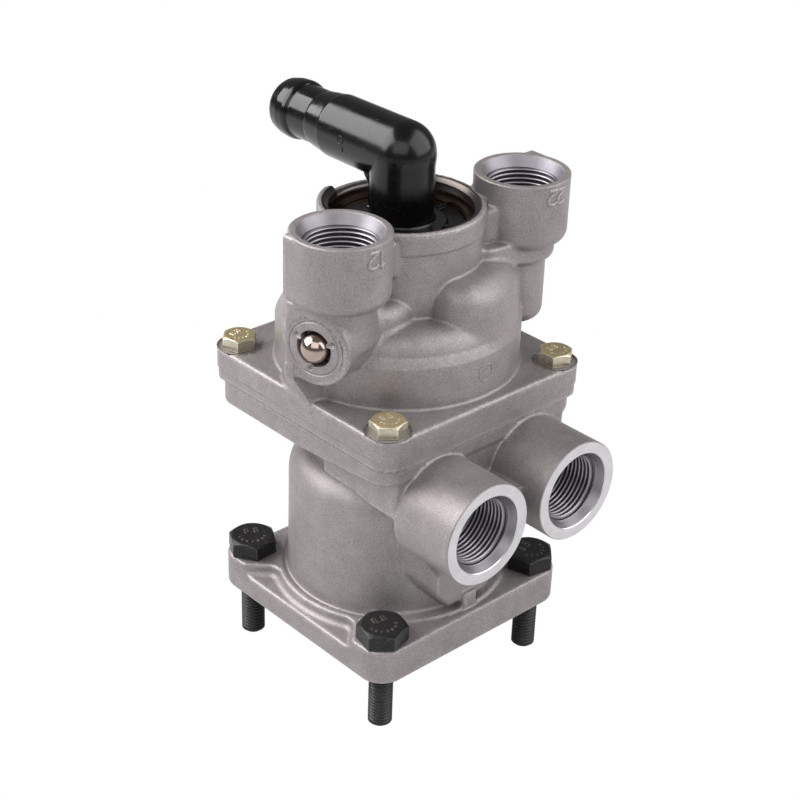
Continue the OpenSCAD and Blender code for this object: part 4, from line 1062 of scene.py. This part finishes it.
# figure, side of the valve, angle, height of its foot, tallness
FIGURES = ((TWO, -1, -86.0, 143.9, 4.9), (ONE, -1, -76.0, 143.6, 4.9),
           (TWO, 1, -90.5, 144.1, 4.7), (TWO, 1, -77.0, 143.9, 4.7))
strokes = [bead(figure, side * TOP_X, -TOP_Y, TOP_R, theta, z, tall, 0.6)
           for figure, side, theta, z, tall in FIGURES]
lap = np.linspace(0, 2 * np.pi, 33)
pin = np.stack([0.5 * np.cos(lap), 0.5 * np.sin(lap)], -1)
strokes.append(bead(pin, 0.0, 0.0, DOME_R + 0.05, -88.5, 97.3, 5.6, 0.2))
numbers = turned_object("port_numbers", strokes, [CAST] * len(strokes), origin=(0, 0, 0), axis=(0, 0, 1))
# Every stroke counts as fully worn edge, so the strokes come out lighter: partly wear on the raised marks,
# partly a painted highlight on their relief.
store_edge(numbers, np.ones(len(numbers.data.vertices)))

# %% [markdown]
# ## Bolts
#
# Four M8 bolts wait in the mounting flange, and four M6 bolts hold the housings
# together. A head is a hexagon cut by a cone for its chamfer, with a raised
# strength mark. It could be a six-sided cylinder with a bevel, but the chamfer
# must bow over each flat, and only the cone does that. The head is meshed once
# and turned by an angle of its own on each bolt, as an assembler leaves them. A
# shank is a threaded grid with a chamfered tip.

# %% Bolt heads and threads
COS30 = math.sqrt(0.75)
HEAD_EDGE_DEPTH, HEAD_EDGE_SPAN, SHANK_WEAR = 0.5, 0.14, 0.12
SHANK_COLS = 48


def strength_mark(x, y, size):
    """Flat distance to the strokes of the mark 8.8."""
    eyes = [(side * 0.62, cy, r) for side in (-1, 1) for cy, r in ((0.27, 0.22), (-0.25, 0.27))]
    rings = lowest(np.abs(np.hypot(x - cx * size, y - cy * size) - r * size) for cx, cy, r in eyes)
    dot = np.hypot(x, y + 0.48 * size) - 0.02
    return np.minimum(rings, dot)


def head_field(af, height, mark):
    """Field of a hexagon head, af across its flats, chamfered, its underside on z = 0.

    mark is the size of the strength mark. A ring of specks below it stands for
    the worn small letters. Most other lengths are shares of af.
    """
    def field(x, y, z):
        """The chamfered hexagon joined with its raised marks."""
        slanted = np.maximum(np.abs(0.5 * x + COS30 * y), np.abs(0.5 * x - COS30 * y))
        body = slab(np.maximum(np.abs(x), slanted) - af / 2, z, 0.0, height, 0.2)
        cone = (np.hypot(x, y) - 0.465 * af) * 0.5 + (z - height) * COS30
        body = common(body, cone, 0.15)
        far = strength_mark(x, y - 0.16 * af, 0.8 * mark)
        a = np.arctan2(y, x)
        letters = np.maximum(np.abs(np.hypot(x, y) - 0.3 * af) - 0.045 * af, y + 0.03 * af)
        letters = np.maximum(letters, 0.3 * af * (np.abs(np.sin(7.5 * a)) - 0.75) / 7.5 * 1.2)
        far = np.minimum(far - 0.018 * af, np.abs(letters + 0.02 * af) - 0.012 * af)
        stroke = np.maximum(far, np.abs(z - height) - 0.014 * af)
        return join(body, stroke, 0.08)
    return field


def bolts(name, af, height, mark, reach, z, spins, shank, material, node):
    """Four bolts at the corners of a square, their heads' undersides at height z.

    reach is the square's half side, spins the heads' angles in degrees, and shank
    the (crest, root, pitch, top, tip) of the thread.
    """
    step = af / 52
    half = 0.6 * af
    field = head_field(af, height, mark)
    verts, quads, normal = surface_of(field, (-half, -half, 0), (half, half, height + 0.15), step)
    edge = convexity(field, verts, normal, HEAD_EDGE_DEPTH, HEAD_EDGE_SPAN)
    crest, root, pitch, top, tip = shank
    helix = thread(crest, root, pitch, tip + 1.0, top, SHANK_COLS, 1.0)
    nose = smooth_profile([(0.01, tip), (crest - 1.1, tip), (crest - 0.2, tip + 1.0)], 0.1)
    neck = np.array([(crest, top), (crest, 0.05)])
    one = [(verts, quads), helix, turned(nose, SHANK_COLS), turned(neck, SHANK_COLS)]
    wear = np.concatenate([edge] + [np.full(len(v), SHANK_WEAR) for v, _ in one[1:]])
    four = []
    for (sx, sy), spin in zip(CORNERS, spins):
        c, s = math.cos(math.radians(spin)), math.sin(math.radians(spin))
        rot = np.array([[c, -s, 0], [s, c, 0], [0, 0, 1]])
        four += [(v @ rot.T + np.array([sx * reach, sy * reach, z]), f) for v, f in one]
    all_v, all_f, _ = gather(four)
    ob = new_object(name, all_v, all_f)
    store_edge(ob, np.tile(wear, len(CORNERS)))
    ob.data.materials.append(material)
    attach(ob, "housing")
    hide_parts(node)


bolts("mounting_bolt_set", af=14.5, height=5.7, mark=3.2, reach=MOUNT_BOLT, z=MOUNT_TOP,
      spins=(-13, 17, -13, -28), shank=(3.95, 3.4, 1.25, -12.2, -32.7),
      material=BLACK_BOLT, node="mounting_bolts")
bolts("housing_bolt_set", af=10.0, height=4.2, mark=2.6, reach=JOINT_BOLT, z=JOINT_SEAT,
      spins=(-13, 7, -13, 17), shank=(2.95, 2.5, 1.0, -2.0, -15.0),
      material=ZINC_BOLT, node="housing_bolts")

# %% [markdown]
# ## Exhaust elbow
#
# The exhaust elbow is one nylon moulding that turns in the collar. Its upright
# tube and its hose arm meet in a ball of the arm's radius, and the arm steps down
# through a cone to the hose spigot and ends in a rounded bead. A bent curve with
# a bevel would make the bend, but not the sharp inner corner, the web under it
# and the ribbed base plate, so it is a field, on a finer grid than the castings.

# %% Elbow as a field
ELBOW_Z, ELBOW_R, TUBE_R, ELBOW_BORE = 155.7, 10.05, 9.8, 7.0
ARM_END, ELBOW_FOOT = 54.0, 125.1
# distance along the arm and its radius there: tube, cone, hose spigot and bead
ARM_PROFILE = [(0, 10.05), (28.2, 10.0), (28.8, 9.85), (35.6, 8.9), (36.2, 8.65), (44.3, 8.6),
               (45.2, 9.3), (46.5, 9.55), (49.5, 9.4), (52.6, 8.7), (54.0, 7.8)]


def elbow_outside(x, y, z):
    """Outer shape of the moulded elbow."""
    r = np.hypot(x, y)
    w = z - ELBOW_Z
    q = np.hypot(x, w)
    tube = np.maximum(r - TUBE_R - 0.004 * (ELBOW_Z - z), np.abs(z - 142.5) - 13.2)
    arm_r = np.interp(y, *np.array(ARM_PROFILE).T).astype(np.float32)
    arm = np.maximum(q - arm_r, np.maximum(-y, y - ARM_END))
    ball = np.sqrt(x * x + y * y + w * w) - ELBOW_R
    solid = np.minimum(arm, join(ball, tube, 0.6))
    solid = join(solid, np.maximum(tube, arm), 0.3)
    # web in the inner corner
    web = slab(rectangle(x, y - 6.4, 2.4, 6.4, 0.5), z, 134.0, 150.0, 0.4)
    brace = np.maximum(np.maximum(np.abs(x) - 2.4, -y), np.maximum(z - 152, 140.0 - z))
    brace = np.maximum(brace, y - 18.5 - (z - 149.0) * 0.9)
    solid = join(solid, np.minimum(web, brace), 0.8)
    # base plate with its seal groove, spigot and six ribs
    plate = slab(r - 21.75, z, 129.6, 134.0, 0.3)
    plate = np.maximum(plate, -slab(np.abs(r - 22.0) - 2.4, z, 130.6, 133.0, 0.1))
    ring = slab(r - 14.0, z, 128.0, 134.8, 0.3)
    spigot = np.maximum(r - 12.4, np.abs(z - 128) - 2.9)
    base = join(np.minimum(plate, ring), spigot, 0.3)
    a = np.arctan2(y, x)
    a = (a + math.pi / 6) % (math.pi / 3) - math.pi / 6
    rib = np.maximum(np.abs(z - 133.8) - 0.9, np.abs(r - 15.5) - 4.5)
    rib = np.maximum(np.abs(r * np.sin(a)) - 0.7, rib)
    base = join(base, rib, 0.25)
    return join(solid, base, 1.2)


def elbow_field(x, y, z):
    """The elbow with its bore: an arm, a tube and a ball of one radius, wider at the bottom."""
    r = np.hypot(x, y)
    w = z - ELBOW_Z
    along_arm = np.maximum(np.hypot(x, w) - ELBOW_BORE, np.maximum(-y, y - 60))
    down_tube = np.maximum(r - ELBOW_BORE, np.maximum(w, 120 - z))
    bend = np.sqrt(x * x + y * y + w * w) - ELBOW_BORE
    bore = lowest((along_arm, down_tube, bend, np.maximum(r - 8.4, z - 129.6)))
    return cut(elbow_outside(x, y, z), bore, 0.35)


elbow = field_object("moulded_elbow", elbow_field, (-21.8, -21.8, ELBOW_FOOT), (21.8, ARM_END, 165.8),
                     0.6)
elbow.data.materials.append(NYLON)
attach(elbow, "elbow")
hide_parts("exhaust_elbow")

# %% [markdown]
# ## Mould marks
#
# The mould left a small ring and a bracket on the arm's side. They stand out by
# a fifth of a millimetre, less than the elbow's grid can hold, so they are
# turned pieces half sunk in the wall: a thin wire bent round, and two bars.

# %% Mould marks on the arm: a small ring and a short bracket
MARK_TILT, BRACKET_TILT, MARK_Y, MARK_R = math.radians(174), math.radians(174) + 0.29, 17.3, 10.0
RING_R, WIRE_R = 1.2, 0.2
BAR = [(0.01, -0.8), (0.2, -0.72), (0.2, 0.72), (0.01, 0.8)]


def arm_spot(tilt):
    """A point on the arm's wall and the direction straight out of it, at a tilt round the arm."""
    out = np.array([math.cos(tilt), 0.0, math.sin(tilt)])
    return MARK_R * out + np.array([0.0, MARK_Y, ELBOW_Z]), out


bend = np.linspace(0, 2 * np.pi, 13)
ring_v, ring_f = turned(np.stack([RING_R + WIRE_R * np.cos(bend), WIRE_R * np.sin(bend)], -1), 40)
marks = [(placed(ring_v, *arm_spot(MARK_TILT)), ring_f)]
corner, out = arm_spot(BRACKET_TILT)
along_arm, round_arm = np.array([0.0, 1.0, 0.0]), np.array([-out[2], 0.0, out[0]])
bar_v, bar_f = turned(np.array(BAR), 12)
marks.append((placed(bar_v, corner - 1.0 * along_arm, round_arm), bar_f))
marks.append((placed(bar_v, corner - 0.35 * along_arm + 0.6 * round_arm, along_arm), bar_f))
turned_object("mould_marks", marks, [NYLON] * len(marks), origin=(0, 0, 0), axis=(0, 0, 1),
              body="elbow")

# %% [markdown]
# ## Pieces carried over from the CAD model
#
# Clips, springs, pistons, valves and seals are already right as solids, and
# most are hidden. They keep their meshes and get the finish of their slot.

# %% Finishes of the pieces carried over from the CAD model
slots = {s["node"]: s["material_slot"] for s in frame["record"]["subparts"]}
for node, ob in frame["nodes"].items():
    ob.data.materials.clear()
    ob.data.materials.append(BY_SLOT[slots[node]])
print(len(frame["nodes"]), "CAD nodes dressed")

# %% [markdown]
# ## Floor and light
#
# The photograph has a white ground without a shadow, and broad soft lights.
# Turning the lamps up until the ground is white would burn out the castings, so
# the floor and the world are plain white for the camera alone. To the object the
# floor is half matt white and half a soft glow, which lifts the undersides, and
# three soft boxes give each side its own tone.

# %% White floor
FLOOR_HALF, FLOOR_DROP = 3.0, 0.0005
floor_mesh = bpy.data.meshes.new("floor")
floor_corners = [(sx * FLOOR_HALF, sy * FLOOR_HALF, 0) for sx, sy in CORNERS]
floor_mesh.from_pydata(floor_corners, [], [(0, 1, 2, 3)])
floor = bpy.data.objects.new("floor", floor_mesh)
floor.location.z = cad_box[0].z - FLOOR_DROP
bpy.context.scene.collection.objects.link(floor)
white, tree, shader, coords = blank("white_floor")
shader.inputs["Base Color"].default_value = (0.8, 0.8, 0.8, 1)
shader.inputs["Roughness"].default_value = 0.9
seen = add(tree, "ShaderNodeLightPath").outputs["Is Camera Ray"]
glow = add(tree, "ShaderNodeEmission", {"Color": (1, 1, 1, 1), "Strength": 1.0})
bounce = add(tree, "ShaderNodeEmission", {"Color": (1, 1, 1, 1), "Strength": 0.75})
paper = add(tree, "ShaderNodeMixShader", {0: 0.5, 1: shader.outputs[0], 2: bounce.outputs[0]})
mix = add(tree, "ShaderNodeMixShader", {0: seen, 1: paper.outputs[0], 2: glow.outputs[0]})
out = [n for n in tree.nodes if n.type == "OUTPUT_MATERIAL"][0]
tree.links.new(mix.outputs[0], out.inputs["Surface"])
floor_mesh.materials.append(white)

# %% White world
world = bpy.data.worlds.new("studio")
bpy.context.scene.world = world
world.use_nodes = True
wt = world.node_tree
wt.nodes.clear()
seen = add(wt, "ShaderNodeLightPath").outputs["Is Camera Ray"]
level = add(wt, "ShaderNodeMapRange", {"Value": seen, "To Min": 0.2, "To Max": 1.0})
sky = add(wt, "ShaderNodeBackground", {"Color": (1, 1, 1, 1), "Strength": level.outputs[0]})
add(wt, "ShaderNodeOutputWorld", {"Surface": sky.outputs[0]})

# %% Three soft boxes


def softbox(name, place, aim, width, height, power):
    """A rectangular area light that points at a place on the object."""
    data = bpy.data.lights.new(name, "AREA")
    data.shape = "RECTANGLE"
    data.size, data.size_y, data.energy = width, height, power
    ob = bpy.data.objects.new(name, data)
    bpy.context.scene.collection.objects.link(ob)
    ob.location = place
    ob.rotation_euler = (Vector(aim) - Vector(place)).to_track_quat("-Z", "Y").to_euler()
    ob.visible_camera = False
    print("light:", name, power, "W")


centre = (0.0, 0.0, 0.08)
softbox("left", (-0.48, 0.52, 0.66), centre, 0.95, 0.75, 15.3)
softbox("right", (0.45, -0.58, 0.62), centre, 1.2, 1.0, 10.0)
softbox("front", (-0.62, -0.45, 0.7), centre, 0.9, 0.7, 3.5)
bpy.context.scene.view_settings.view_transform = "Standard"
bpy.context.scene.view_settings.look = "None"
